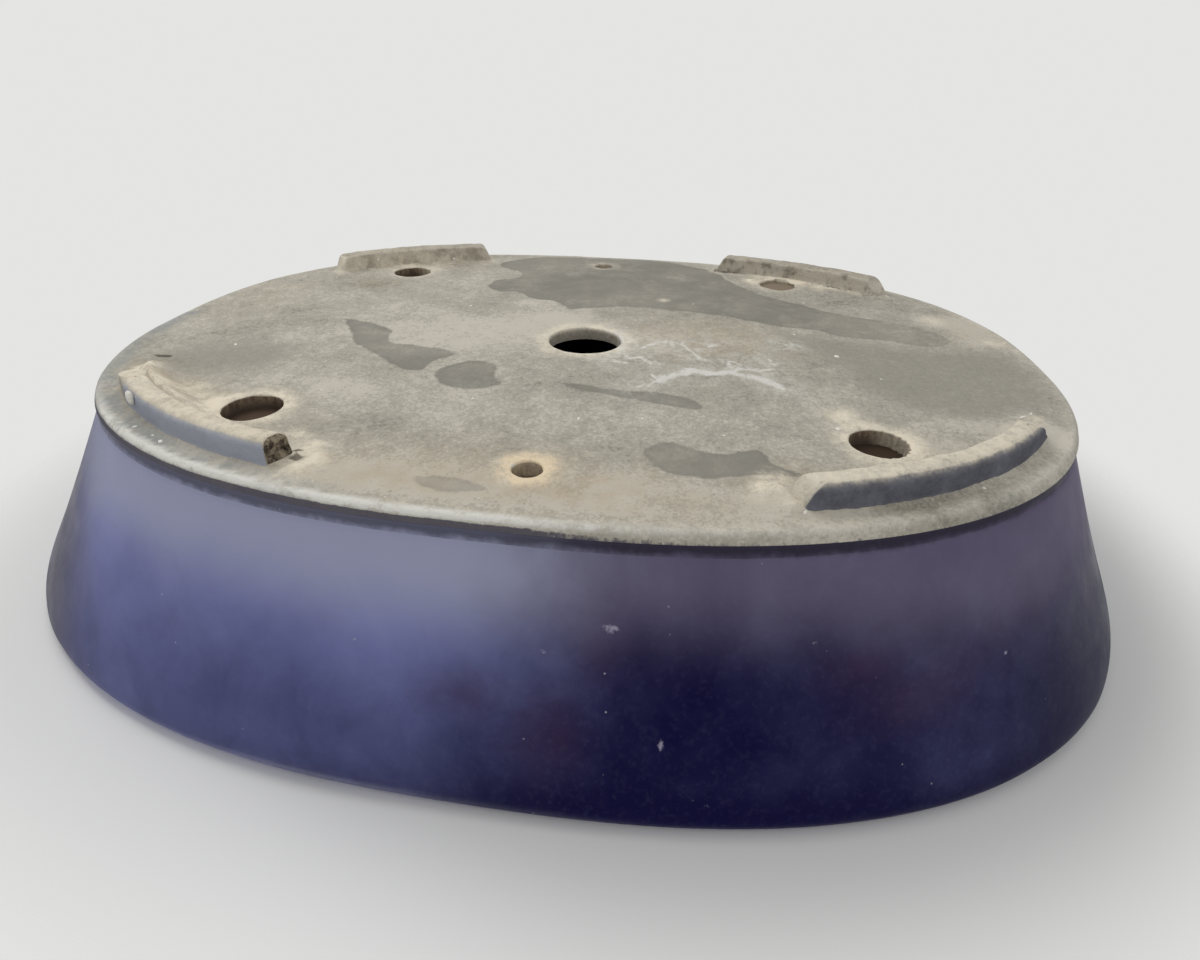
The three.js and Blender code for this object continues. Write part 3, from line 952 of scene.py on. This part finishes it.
def tube_masks(points, edge_depth):
    """The inner floor, all that isn't the underside, the pale painted light on the lit sides of the tubes,
    and their soil and painted gloom.
    """
    flat = points[:, :2]
    height = points[:, 2]
    on_floor = height > SLAB_TOP - 0.05
    near_centre = distance(flat, HOLES["centre"][0]) < HOLES["centre"][1] + 3
    tube_start = SLAB_BOTTOM + np.where(near_centre, 0.9, 0.45)
    in_tube = (height > tube_start) & (edge_depth > 2)
    tube = (in_tube & ~on_floor).astype(float)
    deep = smooth_step(height, SLAB_BOTTOM + 0.5, SLAB_TOP - 1.5)
    lit = painted_lit_tube_sides(flat)
    # Soil in the tubes, less of it on their lit sides; gloom is painted shade on the unlit sides, darker
    # deeper in
    masks = {
        "soil": tube * np.where(near_centre, 0.35, 0.95 - 0.5 * lit),
        "gloom": tube * (1 - lit) * np.maximum(deep, 0.6),
    }
    return on_floor, on_floor | in_tube, 0.6 * lit * tube, masks


def edge_masks(points, edge_depth, on_floor):
    """Dark splashes of glaze on the bare clay edge, a darker strip just below the glaze on the front right,
    and a painted highlight along the bead below them.
    """
    flat = points[:, :2]
    level = (points[:, 2] - SLAB_BOTTOM) / EDGE_HEIGHT
    on_edge = (edge_depth < 0.6) & ~on_floor
    front_right = smooth_step(flat[:, 0], -60, 15) * smooth_step(flat[:, 1], 0, -60)
    brink = smooth_step(level, 0.25, 1) * (0.9 + 0.45 * np.exp(-((flat[:, 0] + 10) / 44) ** 2))
    brink = np.maximum(brink, 2.4 * smooth_step(level, 0.3, 0.75) * front_right)
    bead_highlight = np.exp(-((level - 0.15) / 0.24) ** 2) * smooth_step(edge_depth, 1.2, 0)
    bead_highlight *= 0.3 + 2.0 * front_right * smooth_step(flat[:, 0], 135, 100)
    return {"brink": brink * on_edge, "bead_highlight": bead_highlight * on_edge}


def clay_masks(points, edge_depth, foot_gaps):
    """Stains, halos, veins, dark marks and painted shadow of the underside, worked out for every point in
    plan.
    """
    flat = points[:, :2]
    x, y = flat.T
    stain_depth = [depth_inside(flat, rounded_outline(corners)) + STAIN_REACH for corners in STAINS]
    grey_depth = [depth_inside(flat, rounded_outline(corners)) for corners in GREY_ZONES]
    near_foot = np.min(list(foot_gaps.values()), axis=0)
    right_side = smooth_step(x, 20, 70)
    halo = 0.5 * np.exp(-(near_foot / 3.5) ** 2) * (edge_depth > 7)
    halo += (0.4 - 0.3 * right_side) * np.exp(-((edge_depth - 1) / 1.8) ** 2)
    for smear_x, smear_y, reach in PALE_SMEARS:
        halo += 0.75 * spot(flat, smear_x, smear_y, reach, reach)
    marks_and_shadow = np.max([strength * spot(flat, *place) for *place, strength in DARK_MARKS], axis=0)
    # Painted shadow along the inner side of one rear foot
    under_foot = np.exp(-(foot_gaps["foot_rear_left"] / 1.5) ** 2) * (edge_depth > 9)
    for shadow_x, reach, strength in FOOT_SHADOWS:
        marks_and_shadow = np.maximum(marks_and_shadow, strength * np.exp(-((x - shadow_x) / reach) ** 2) * under_foot)
    bent = flat + 0.9 * np.column_stack([wobble(points, 5, 35), wobble(points, 5, 36)])
    faded = 0.6 * smooth_step(-x, 80, 125) * (y > 0) + 0.6 * smooth_step(distance(flat, FAINT_STAIN), 24, 17)
    return {
        "stain": np.maximum(np.max(stain_depth, axis=0), 0),
        "grey": smooth_step(np.max(grey_depth, axis=0), -16, 16),
        "halo": halo,
        "vein": np.maximum(0.9 * vein_mask(bent, VEINS, 1.2), vein_mask(bent, [CRUST], 2.7)),
        "marks_and_shadow": marks_and_shadow,
        "mineral": vein_mask(flat, VEINS + [CRUST], 6),
        "cool": 1.3 * smooth_step(edge_depth, 7, 2) * right_side * (y < 0),
        "faded": 1 - faded,
        "golden": smooth_step(distance(flat, HOLES["wire_front"][0]), 26, 12),
    }


def make_slab(material):
    maker = slab_mesh()
    points = maker.points()
    flat = points[:, :2]
    edge_depth = depth_inside(flat, base_oval(TURNS[::3], 0))
    near_hole = around_holes(flat)
    foot_gaps = {name: np.maximum(-depth_inside(flat, foot_outline(name)), 0) for name in FEET}
    make_uneven(points, edge_depth, foot_gaps)
    slab = maker.build("slab", points)

    on_floor, not_below, tube_painted_light, masks = tube_masks(points, edge_depth)
    masks |= clay_masks(points, edge_depth, foot_gaps) | edge_masks(points, edge_depth, on_floor)
    masks["halo"] += near_hole
    for name in ("stain", "grey", "vein", "marks_and_shadow"):
        masks[name] = np.where(not_below, 0, masks[name])
    # In the tubes the halo colour is painted light on their lit sides
    masks["halo"] = np.where(not_below, tube_painted_light, masks["halo"])
    masks["mineral"] = np.where(on_floor, 0, masks["mineral"])
    masks["shade"] = np.where(on_floor, 0.1, cloud_sum(flat, CLOUDS))
    warm = np.clip(cloud_sum(flat, WARM_CLOUDS), 0, 1) * np.clip(1 - masks["cool"], 0, 1)
    masks["warm"] = np.where(on_floor, 0.3, warm)
    paint(slab, **masks)
    dress(slab, material, "clay", "base_slab")


# Wall of bare clay, hidden outside by the glaze and seen inside

def wall_ring(inset, z):
    """A ring on the flared wall; its inset and its height may vary round it."""
    return lifted(pot_oval(TURNS, flare_at(z), inset), z)


def lip_ring(radius, angle):
    """A ring on the round lip, from its outside at angle 0 over the top to its inside."""
    return wall_ring(LIP_RADIUS - radius * math.cos(angle), LIP_CENTRE + radius * math.sin(angle))


def dents(points, stretch=1.0):
    """Unevenness of the clay inside; above 1, stretch makes the small dents lower than they are long."""
    return 0.4 * wobble(points, 34, 11) + 0.2 * wobble(points * [1, 1, stretch], 10, 12)


def make_wall(material):
    inner = 2 * LIP_RADIUS - CLAY_INSET
    rings = [wall_ring(CLAY_INSET, z) for z in np.linspace(SLAB_TOP, LIP_CENTRE, 9)]
    rings += [lip_ring(LIP_RADIUS - CLAY_INSET, math.pi * i / 9) for i in range(1, 9)]
    for z in np.linspace(LIP_CENTRE, SLAB_TOP + FILLET, 34):
        fade = smooth_step(z, LIP_CENTRE, LIP_CENTRE - 12)
        inset = inner + fade * (WALL_SLACK + dents(wall_ring(inner, z), 2.5))
        rings.append(wall_ring(inset, z))
    share = flare_at(SLAB_TOP + FILLET)
    for angle in quarter_turn(7):
        inset = inner + WALL_SLACK + FILLET * (1 - math.cos(angle))
        z = SLAB_TOP + FILLET * (1 - math.sin(angle))
        dent = math.cos(angle) * dents(lifted(pot_oval(TURNS, share, inset), z))
        rings.append(lifted(pot_oval(TURNS, share, inset + dent), z))
    maker = MeshMaker()
    maker.loft(rings, closed=True)
    wall = maker.build("wall_clay")
    paint(wall, shade=0.1 + 0.25 * smooth_step(maker.points()[:, 2], 26, SLAB_TOP))
    dress(wall, material, "clay", "wall")


# Glaze: a skin over the outside and the lip, with a groove above the bare clay edge

# Scuffs on the front: place along x, height, and reach along and across
GLAZE_SCUFFS = [
    (-17, 33, 5, 1.1), (-28, 27, 1.4, 2.2), (-38, 34, 1.4, 2.6), (-43, 50, 1.3, 2.4), (-55, 62, 2.4, 1.8),
    (27, 36, 1.4, 1), (112, 17, 1.2, 1.4), (16, 12, 1.6, 1.2), (-74, 30, 1.2, 0.9), (-24, 22, 0.7, 5),
    (-120, 40, 1.2, 1), (70, 56, 1.2, 1), (-30, 28, 4, 2),
]

# Plum-coloured patches on the front, given the same way
PLUM_PATCHES = [
    (-99, 43, 20, 9), (-86, 36, 12, 6), (-28, 30, 8, 12), (-18, 50, 12, 12), (2, 44, 14, 7),
    (-125, 30, 14, 10),
]


def patches_on_front(points, patches):
    """The strongest of several soft patches at each point of the front."""
    front = points[:, [0, 2]]
    return np.max([spot(front, *patch) for patch in patches], axis=0) * (points[:, 1] < 0)


def drawn_in(ring, depth):
    """A ring moved inward by a depth that varies round it."""
    along = np.roll(ring, -1, axis=0) - np.roll(ring, 1, axis=0)
    outward = np.stack([along[:, 1], -along[:, 0]], axis=-1)
    outward /= np.hypot(*outward.T)[:, None]
    return lifted(ring[:, :2] - outward * depth[:, None], ring[:, 2])


def outer_depth(ring):
    """How far the glaze outside lies inside its plain outline, always inward."""
    z = ring[:, 2]
    broad = 0.25 + 0.25 * wobble(ring, 55, 21) + 0.12 * wobble(ring, 18, 22)
    groove = GROOVE_DEPTH * np.exp(-((z - GROOVE_HEIGHT) / GROOVE_REACH) ** 2)
    return np.maximum(broad, 0) * smooth_step(z, GLAZE_START, GLAZE_START + 8) + groove


def outer_glaze():
    """Rings from the start of the glaze up the outside and over the lip."""
    rings = []
    low_part = np.linspace(GLAZE_START, SLAB_TOP + 3, 14)
    for z in np.concatenate([low_part, np.linspace(SLAB_TOP + 4, LIP_CENTRE, 42)]):
        ring = wall_ring(0, z)
        rings.append(drawn_in(ring, outer_depth(ring)))
    for i in range(1, 16):
        angle = math.pi * i / 15
        ring = lip_ring(LIP_RADIUS, angle)
        outer_side = (1 - math.sin(angle)) * (angle < math.pi / 2)
        depth = LIP_DEPTH + 0.1 * wobble(ring, 24, 23) + 0.25 * outer_side
        rings.append(drawn_in(ring, depth * math.cos(angle)) - [0, 0, LIP_DEPTH * math.sin(angle)])
    return rings


def inner_glaze():
    """Rings from the lip down to the uneven end of the glaze inside, and back along the clay to its start."""
    plain = wall_ring(0, GLAZE_END)
    end = GLAZE_END + 1.2 + 1.2 * wobble(plain, 26, 24) + 0.8 * wobble(plain, 7, 25)
    rings = []
    for share in np.linspace(0.12, 1, 9):
        rings.append(wall_ring(2 * LIP_RADIUS - 0.05 * share, LIP_CENTRE + (end - LIP_CENTRE) * share))
    rings.append(wall_ring(2 * LIP_RADIUS - 0.35, end - 0.25))
    rings.append(wall_ring(2 * LIP_RADIUS - GLAZE_THICKNESS, end))
    for z in np.linspace(GLAZE_END + 4, LIP_CENTRE, 3):
        rings.append(wall_ring(2 * LIP_RADIUS - GLAZE_THICKNESS, z))
    rings += [lip_ring(LIP_RADIUS - GLAZE_THICKNESS, math.pi * (1 - i / 8)) for i in range(1, 8)]
    for z in np.linspace(LIP_CENTRE, SLAB_TOP + 4, 8):
        rings.append(wall_ring(GLAZE_THICKNESS + 0.2, z))
    rings.append(wall_ring(GLAZE_THICKNESS + 0.25, GLAZE_START))
    return rings


def make_glaze(material):
    maker = MeshMaker()
    maker.loft(outer_glaze() + inner_glaze(), closed=True)
    glaze = maker.build("glaze")
    points = maker.points()
    x, y, z = points.T
    height = (z - GLAZE_START) / (HEIGHT - GLAZE_START)
    # Paler blue on the +x side and low down, in part painted light
    pale = smooth_step(x - 16 * height, -58, 28) * (1.1 - 0.55 * smooth_step(height, 0.1, 0.8))
    pale = np.maximum(pale, 0.12 * (1 - height) + 0.1 * smooth_step(-x, 60, 140))
    pale -= 0.16 * smooth_step(height, 0.8, 1.0)
    pale -= 0.3 * smooth_step(-x, 125, 155) * smooth_step(height, 0.3, 0.6)
    pale -= 0.12 * smooth_step(-x, 75, 110) * smooth_step(height, 0.5, 0.2)
    behind = smooth_step(y, 0, 70)
    # Grey film near the base, in large part a painted sheen of reflected light
    film = 0.95 * smooth_step(height, 0.5, 0.0) + 0.2 * smooth_step(height, 0.9, 0.2)
    greyed = smooth_step(x, 104, 142) * smooth_step(y, 80, -30)
    # The dark band is in part painted shadow under the bare clay edge, wider on the -x side
    band_height = 2.6 + 0.9 * smooth_step(-x, 20, 80)
    paint(
        glaze,
        pale=pale + (0.3 + 0.3 * wobble(points, 90, 26) - pale) * behind,
        film=film + 0.25 * smooth_step(-x, 60, 130) * smooth_step(height, 0.8, 0.3),
        greyed=greyed * smooth_step(height, -0.25, 0.45),
        band=np.exp(-((z - GLAZE_START) / band_height) ** 2),
        scuff=patches_on_front(points, GLAZE_SCUFFS),
        plum=patches_on_front(points, PLUM_PATCHES) + 0.45 * behind,
    )
    dress(glaze, material, "glaze", "glaze_coat")


# Feet: slices from the root to the standing face, with rounded edges and corners

def foot_slice(name, z, shrink):
    """One closed outline of a foot, at height z and drawn in by shrink."""
    drop = min(max((SLAB_BOTTOM - z) / SLAB_BOTTOM, 0), 1)
    outer = FOOT_INSET + FOOT_DRAFT * drop + shrink
    inner = FOOT_INSET + FOOT_WIDTH - FOOT_DRAFT * drop - shrink
    length = FEET[name][1]
    corner = min(FOOT_CORNER, (inner - outer) / 2 - 0.05)
    bend = corner / length
    low = (shrink + corner) / length
    along = low + (1 - 2 * low) * np.linspace(0, 1, FOOT_SIDE_STEPS)
    turn = quarter_turn(FOOT_CORNER_STEPS)[:-1]
    sin = np.sin(turn)
    cos = np.cos(turn)
    shares = [along, 1 - low + bend * sin, 1 - low + bend * cos]
    shares += [along[::-1], low - bend * sin, low - bend * cos]
    insets = [along * 0 + outer, outer + corner * (1 - cos), inner - corner * (1 - sin)]
    insets += [along * 0 + inner, inner - corner * (1 - cos), outer + corner * (1 - sin)]
    return lifted(foot_points(name, np.concatenate(shares), np.concatenate(insets), drop), z)


def foot_mesh(name):
    rounding = FOOT_LOOKS[name][0]
    levels = [(SLAB_BOTTOM + 0.8, -0.5), (SLAB_BOTTOM, -0.4), (SLAB_BOTTOM - 0.6, -0.15)]
    levels += [(z, 0) for z in np.linspace(SLAB_BOTTOM - 1.3, rounding, 7)]
    for angle in quarter_turn(7):
        levels.append((rounding * (1 - math.sin(angle)), rounding * (1 - math.cos(angle))))
    face_half = FOOT_WIDTH / 2 - FOOT_DRAFT
    levels += [(0, rounding + (face_half - rounding) * share) for share in (0.35, 0.7, 0.96)]
    maker = MeshMaker()
    loops = maker.loft([foot_slice(name, z, shrink) for z, shrink in levels])
    maker.faces.append(loops[0][::-1])
    # The standing face: a strip between the two long sides, and a face at each end
    top = loops[-1]
    count = FOOT_SIDE_STEPS
    back = count + 2 * (FOOT_CORNER_STEPS - 1)
    for i in range(count - 1):
        maker.faces.append((top[i], top[i + 1], top[back + count - 2 - i], top[back + count - 1 - i]))
    maker.faces.append(top[count - 1:back + 1])
    maker.faces.append(np.concatenate([top[back + count - 1:], top[:1]]))
    return maker


def make_foot(name, material, seed):
    _, light, mottle, warmth = FOOT_LOOKS[name]
    maker = foot_mesh(name)
    foot = maker.build(name.replace("foot_", "") + "_foot")
    points = maker.points()
    normals = normals_of(foot)
    broken = np.zeros(len(points))
    # The broken inner end of this foot; its dark colour is in part painted shade
    if name == "foot_front_right":
        end = points[:, 0].min()
        broken = smooth_step(-normals[:, 0], 0.2, 0.5) * smooth_step(points[:, 0], end + 6.5, end + 4.5)
    shaken = 0.3 * wobble(points, 14, seed) + 0.2 * wobble(points, 4, seed + 1)
    shaken += 0.08 * wobble(points, 1.6, seed + 2)
    shaken += broken * (1.3 * wobble(points, 4.5, seed + 3) + 0.7 * wobble(points, 2, seed + 4) - 0.9)
    points += normals * (shaken - 0.15)[:, None]
    points[:, 2] = np.maximum(points[:, 2], 0)
    move_points(foot, points)

    spoke = points[:, :2] - MIDDLE
    outward = (normals[:, :2] * spoke).sum(axis=1) / np.hypot(*spoke.T)
    down = -normals[:, 2]
    facing_out = smooth_step(outward, 0.2, 0.75)
    if name == "foot_front_right":
        facing_out = smooth_step(outward, 0.35, 1.0) * (1 - 0.75 * smooth_step(points[:, 0], 102, 121))
    facing_down = smooth_step(down, 0.5, 0.95)
    inner_side = (1 - facing_down) * (1 - facing_out)
    inner_end = smooth_step(normals[:, 0], 0.45, 0.75) * (name == "foot_front_left")
    facing_out = facing_out * (1 - inner_end)
    edge = np.clip(1 - np.abs(down - 0.6) / 0.4, 0, 1)
    # Worn edges; the standing faces of the front feet are worn and also painted lighter as painted light,
    # those of the rear feet painted darker as painted shade
    if "front" in name:
        soot = facing_out
        worn = [0.6 * edge * (1 - 0.7 * facing_out), 1.3 * facing_down, inner_end]
        face_shade = -0.35
    else:
        soot = 0.5 * facing_out + 0.2 * inner_side
        worn = [1.6 * edge * smooth_step(outward, 0.0, 0.4) * (1 - 0.7 * facing_out), 0.3 * facing_down]
        face_shade = 0.3
    # Painted light: paler patches on the inner side of this rear foot
    if name == "foot_rear_right":
        worn.append(1.2 * inner_side)
    # The shade of the standing faces and the lighter inner sides are painted light and shade
    paint(
        foot,
        soot=soot,
        pale=np.full(len(points), 1.05 if name == "foot_front_right" else 0.1),
        worn=np.maximum.reduce(worn),
        shade=face_shade * facing_down - light * inner_side,
        mottle=mottle * inner_side,
        warm=warmth * np.maximum(facing_down, inner_side),
        broken=1.3 * broken,
    )
    dress(foot, material, "clay", name)


# Crumbs of lime stuck to the clay: place, height, length, width, thickness and turn in degrees
SPECKS = [
    (46, 26, 7, 2.2, 0.9, 0.4, 100), (-89, -3, 7, 2.2, 1.8, 0.5, 80), (-13, -63, 7, 1.6, 0.8, 0.4, 95),
    (110, -29, 7, 1.6, 1.0, 0.4, 60), (-82, -57, 7, 1.8, 1.2, 0.5, 70),
    (-69, -99.5, 6.6, 2.4, 1.6, 1.4, 100), (-77, 16, 7, 1.0, 1.0, 0.4, 0), (19, -56, 7, 1.1, 0.9, 0.4, 0),
    (-30, -60, 7, 0.9, 0.8, 0.3, 0), (-52, -66, 7, 0.8, 0.7, 0.3, 0), (64, -58, 7, 0.8, 0.7, 0.3, 0),
    (-100, -20, 7, 0.8, 0.8, 0.3, 0), (-84, 55, 7, 0.9, 0.8, 0.3, 0), (-40, 45, 7, 0.8, 0.7, 0.3, 0),
    (80, 20, 7, 0.8, 0.6, 0.3, 0), (88, -94, 7, 1.8, 1.1, 0.5, 40), (92, -91.5, 7, 1.0, 0.8, 0.4, 10),
    (100, -88, 7, 1.3, 0.9, 0.4, 120), (104.9, -81.3, 2.2, 3.0, 1.9, 4.0, 38),
    (104.2, 71.6, 3.5, 0.9, 0.9, 1.0, 0), (110.6, 66.3, 4.5, 1.0, 1.0, 0.8, 0),
    (-133.5, -41.5, 6.5, 3.4, 0.7, 0.4, -40), (-136.5, -39, 6.6, 3.0, 0.6, 0.4, -60),
    (-138, -42, 6.7, 2.4, 0.6, 0.4, -70), (72.7, 84.4, 4.5, 1.1, 1.1, 1.2, 0),
    (-111, -82, 6.7, 1.0, 0.8, 0.6, 20), (-75, 88, 6.6, 1.2, 0.9, 1.0, 60),
]


def make_specks(material):
    maker = MeshMaker()
    circle = unit_circle(14)
    for number, (x, y, z, length, width, thickness, turn) in enumerate(SPECKS):
        angle = math.radians(turn)
        across = np.array([[math.cos(angle), math.sin(angle)], [-math.sin(angle), math.cos(angle)]])
        rough = 1 + 0.18 * wobble(lifted(circle, 0), 0.7, 30 + number)
        rings = []
        for tilt in np.linspace(-1.35, 1.35, 8):
            flat = circle * [length / 2, width / 2] * (math.cos(tilt) * rough)[:, None]
            rings.append(lifted(flat @ across + [x, y], z - thickness / 2 * math.sin(tilt)))
        loops = maker.loft(rings)
        maker.faces.append(loops[0][::-1])
        maker.faces.append(loops[-1])
    dress(maker.build("lime_specks"), material, "clay")


# Stage: two floors, one for the photograph's view from below and one for the upright pot

BACKGROUND = 0.78
WORLD_LIGHT = 0.5
STAGE_POINTS = 96
FLOOR_SHADE = 0.8
FLOOR_MIDDLE = -130
CARD_INSET = 3

# What shows through each hole: painted shade for the unlit inside of the pot, except in one rear hole, where
# it is the clay smeared into it; holes not listed take the painted gloom colour of the tubes
BACKING_COLORS = {
    "centre": (0.0, 0.0, 0.0, 1),
    "wire_front": linear(120, 104, 86),
    "wire_rear": linear(150, 138, 120),
    "rear_left": linear(144, 131, 114),
    "front_left": linear(74, 61, 52),
    "rear_right": linear(140, 124, 106),
}

# Area lamps: place, side of the square and power; all point at the middle of the pot
LAMPS = {
    "key_below": ((330, 220, -520), 420, 1.75),
    "fill_below": ((-200, -420, -420), 400, 0.35),
    "key_above": ((300, -350, 600), 420, 1.6),
    "fill_above": ((-400, 300, 420), 400, 0.5),
}
LAMP_TARGET = Vector((0, 0, 30))

# The photograph's camera, in the frame of the upright pot
LENS = 20.4
CAMERA_PLACE = Vector((-42.74, -225.79, -76.19))
CAMERA_FORWARD = Vector((0.12215, 0.84072, 0.52751))
CAMERA_UP = Vector((0.09062, 0.51982, -0.84945))


def stage_material(name, color, gloss=0.5):
    """A plain surface, seen only from its front and only where it is covered."""
    graph = new_material(name)
    surface = graph.shader("BsdfPrincipled", Base_Color=color, Roughness=0.35, Specular_IOR_Level=gloss)
    back = graph.value("NewGeometry", {}, "Backfacing")
    front = graph.math("SUBTRACT", graph.stored("cover"), back, use_clamp=True)
    return graph.finish(graph.mix_shaders(front, graph.shader("BsdfTransparent"), surface))


def hide_from(piece, *rays):
    for ray in rays:
        setattr(piece, "visible_" + ray, False)


def turn_faces(piece, facing_up):
    if (normals_of(piece)[:, 2].mean() > 0) != facing_up:
        piece.data.flip_normals()


def make_floor(name, z, facing_up, reach):
    """A floor of rings round the pot that fades out with the distance from it."""
    turns = np.linspace(0, 1, STAGE_POINTS, endpoint=False)
    steps = np.concatenate([[FLOOR_MIDDLE], np.linspace(-60, 0, 4), np.linspace(10, reach, 16)])
    maker = MeshMaker()
    loops = maker.loft([lifted(superellipse(turns, RIM_HALF + step, 2.3, 0), z) for step in steps])
    middle = maker.add([[0, 0, z]])[0]
    for i in range(STAGE_POINTS):
        maker.faces.append((loops[0][i], loops[0][(i + 1) % STAGE_POINTS], middle))
    floor = maker.build(name)
    turn_faces(floor, facing_up)
    distances = np.append(np.repeat(steps, STAGE_POINTS), FLOOR_MIDDLE)
    paint(floor, cover=smooth_step(distances, reach, reach * 0.15))
    color = (FLOOR_SHADE, FLOOR_SHADE, FLOOR_SHADE * 0.99, 1)
    floor.data.materials.append(stage_material(name, color))
    hide_from(floor, "diffuse", "shadow", "transmission")


def make_backings():
    """Discs behind the holes, painted shade for the unlit inside of a pot that lies on its rim; the low disc
    in one rear hole stands for clay smeared into it.
    """
    circle = unit_circle(32)
    for name, (centre, radius, _) in HOLES.items():
        maker = MeshMaker()
        z = SLAB_BOTTOM + 1.4 if name == "rear_left" else SLAB_TOP - 0.6
        maker.faces.append(maker.add(lifted(centre + (radius + 0.6) * circle, z)))
        backing = maker.build("backing_" + name)
        turn_faces(backing, False)
        paint(backing, cover=np.ones(maker.count))
        color = BACKING_COLORS.get(name, GLOOM)
        backing.data.materials.append(stage_material("backing_" + name, color, 0.0))


def make_light_stop():
    """A card below the base: light that has passed it doesn't reach the ground by way of the underside."""
    maker = MeshMaker()
    turns = np.linspace(0, 1, STAGE_POINTS, endpoint=False)
    maker.faces.append(maker.add(lifted(superellipse(turns, EDGE_HALF - CARD_INSET, 2.4, 0), -1))[::-1])
    card = maker.build("light_stop")
    graph = new_material("light_stop")
    bounced = graph.math("GREATER_THAN", graph.value("LightPath", {}, "Ray Depth"), 1.5)
    black = graph.shader("BsdfDiffuse", Color=(0, 0, 0, 1))
    clear = graph.shader("BsdfTransparent")
    card.data.materials.append(graph.finish(graph.mix_shaders(bounced, clear, black)))
    hide_from(card, "camera", "diffuse", "glossy", "transmission")


def make_world():
    """Even soft light, and a pale background wherever it is seen or mirrored."""
    world = bpy.data.worlds.new("studio")
    bpy.context.scene.world = world
    graph = Graph(world)
    kinds = ("Is Camera Ray", "Is Glossy Ray", "Is Transmission Ray")
    camera, glossy, transmission = [graph.value("LightPath", {}, kind) for kind in kinds]
    seen = graph.math("MAXIMUM", graph.math("MAXIMUM", camera, glossy), transmission)
    light = graph.shader("Background", Color=(1, 1, 1, 1), Strength=WORLD_LIGHT)
    pale = graph.shader("Background", Color=(BACKGROUND, BACKGROUND, BACKGROUND * 0.985, 1))
    graph.finish(graph.mix_shaders(seen, light, pale), "OutputWorld")


def add_lamp(name, place, side, power):
    light = bpy.data.lights.new(name, "AREA")
    light.shape = "SQUARE"
    light.size = side * MM
    light.energy = power
    lamp = bpy.data.objects.new(name, light)
    lamp.location = Vector(place) * MM
    direction = (LAMP_TARGET - Vector(place)).normalized()
    lamp.rotation_euler = direction.to_track_quat("-Z", "Y").to_euler()
    bpy.context.scene.collection.objects.link(lamp)


def make_camera():
    """The photograph's camera, below the upright pot and turned over with it."""
    data = bpy.data.cameras.new("camera")
    data.sensor_width = 36
    data.lens = LENS
    data.clip_start = 0.01
    data.clip_end = 10
    camera = bpy.data.objects.new("camera", data)
    forward = CAMERA_FORWARD.normalized()
    right = forward.cross(CAMERA_UP).normalized()
    turn = Matrix((right, right.cross(forward), -forward)).transposed().to_4x4()
    camera.matrix_world = Matrix.Translation(CAMERA_PLACE * MM) @ turn
    bpy.context.scene.collection.objects.link(camera)
    bpy.context.scene.camera = camera


def main():
    make_camera()
    make_slab(underside_clay())
    make_wall(inside_clay())
    make_glaze(blue_glaze())
    feet_material = foot_clay()
    for number, name in enumerate(FEET):
        make_foot(name, feet_material, 60 + 5 * number)
    make_specks(white_lime())
    make_floor("floor_below_rim", HEIGHT, False, 60)
    make_floor("floor_below_feet", 0.0, True, 420)
    make_backings()
    make_light_stop()
    make_world()
    for name, lamp in LAMPS.items():
        add_lamp(name, *lamp)
    bpy.context.scene.view_settings.view_transform = "Standard"


main()
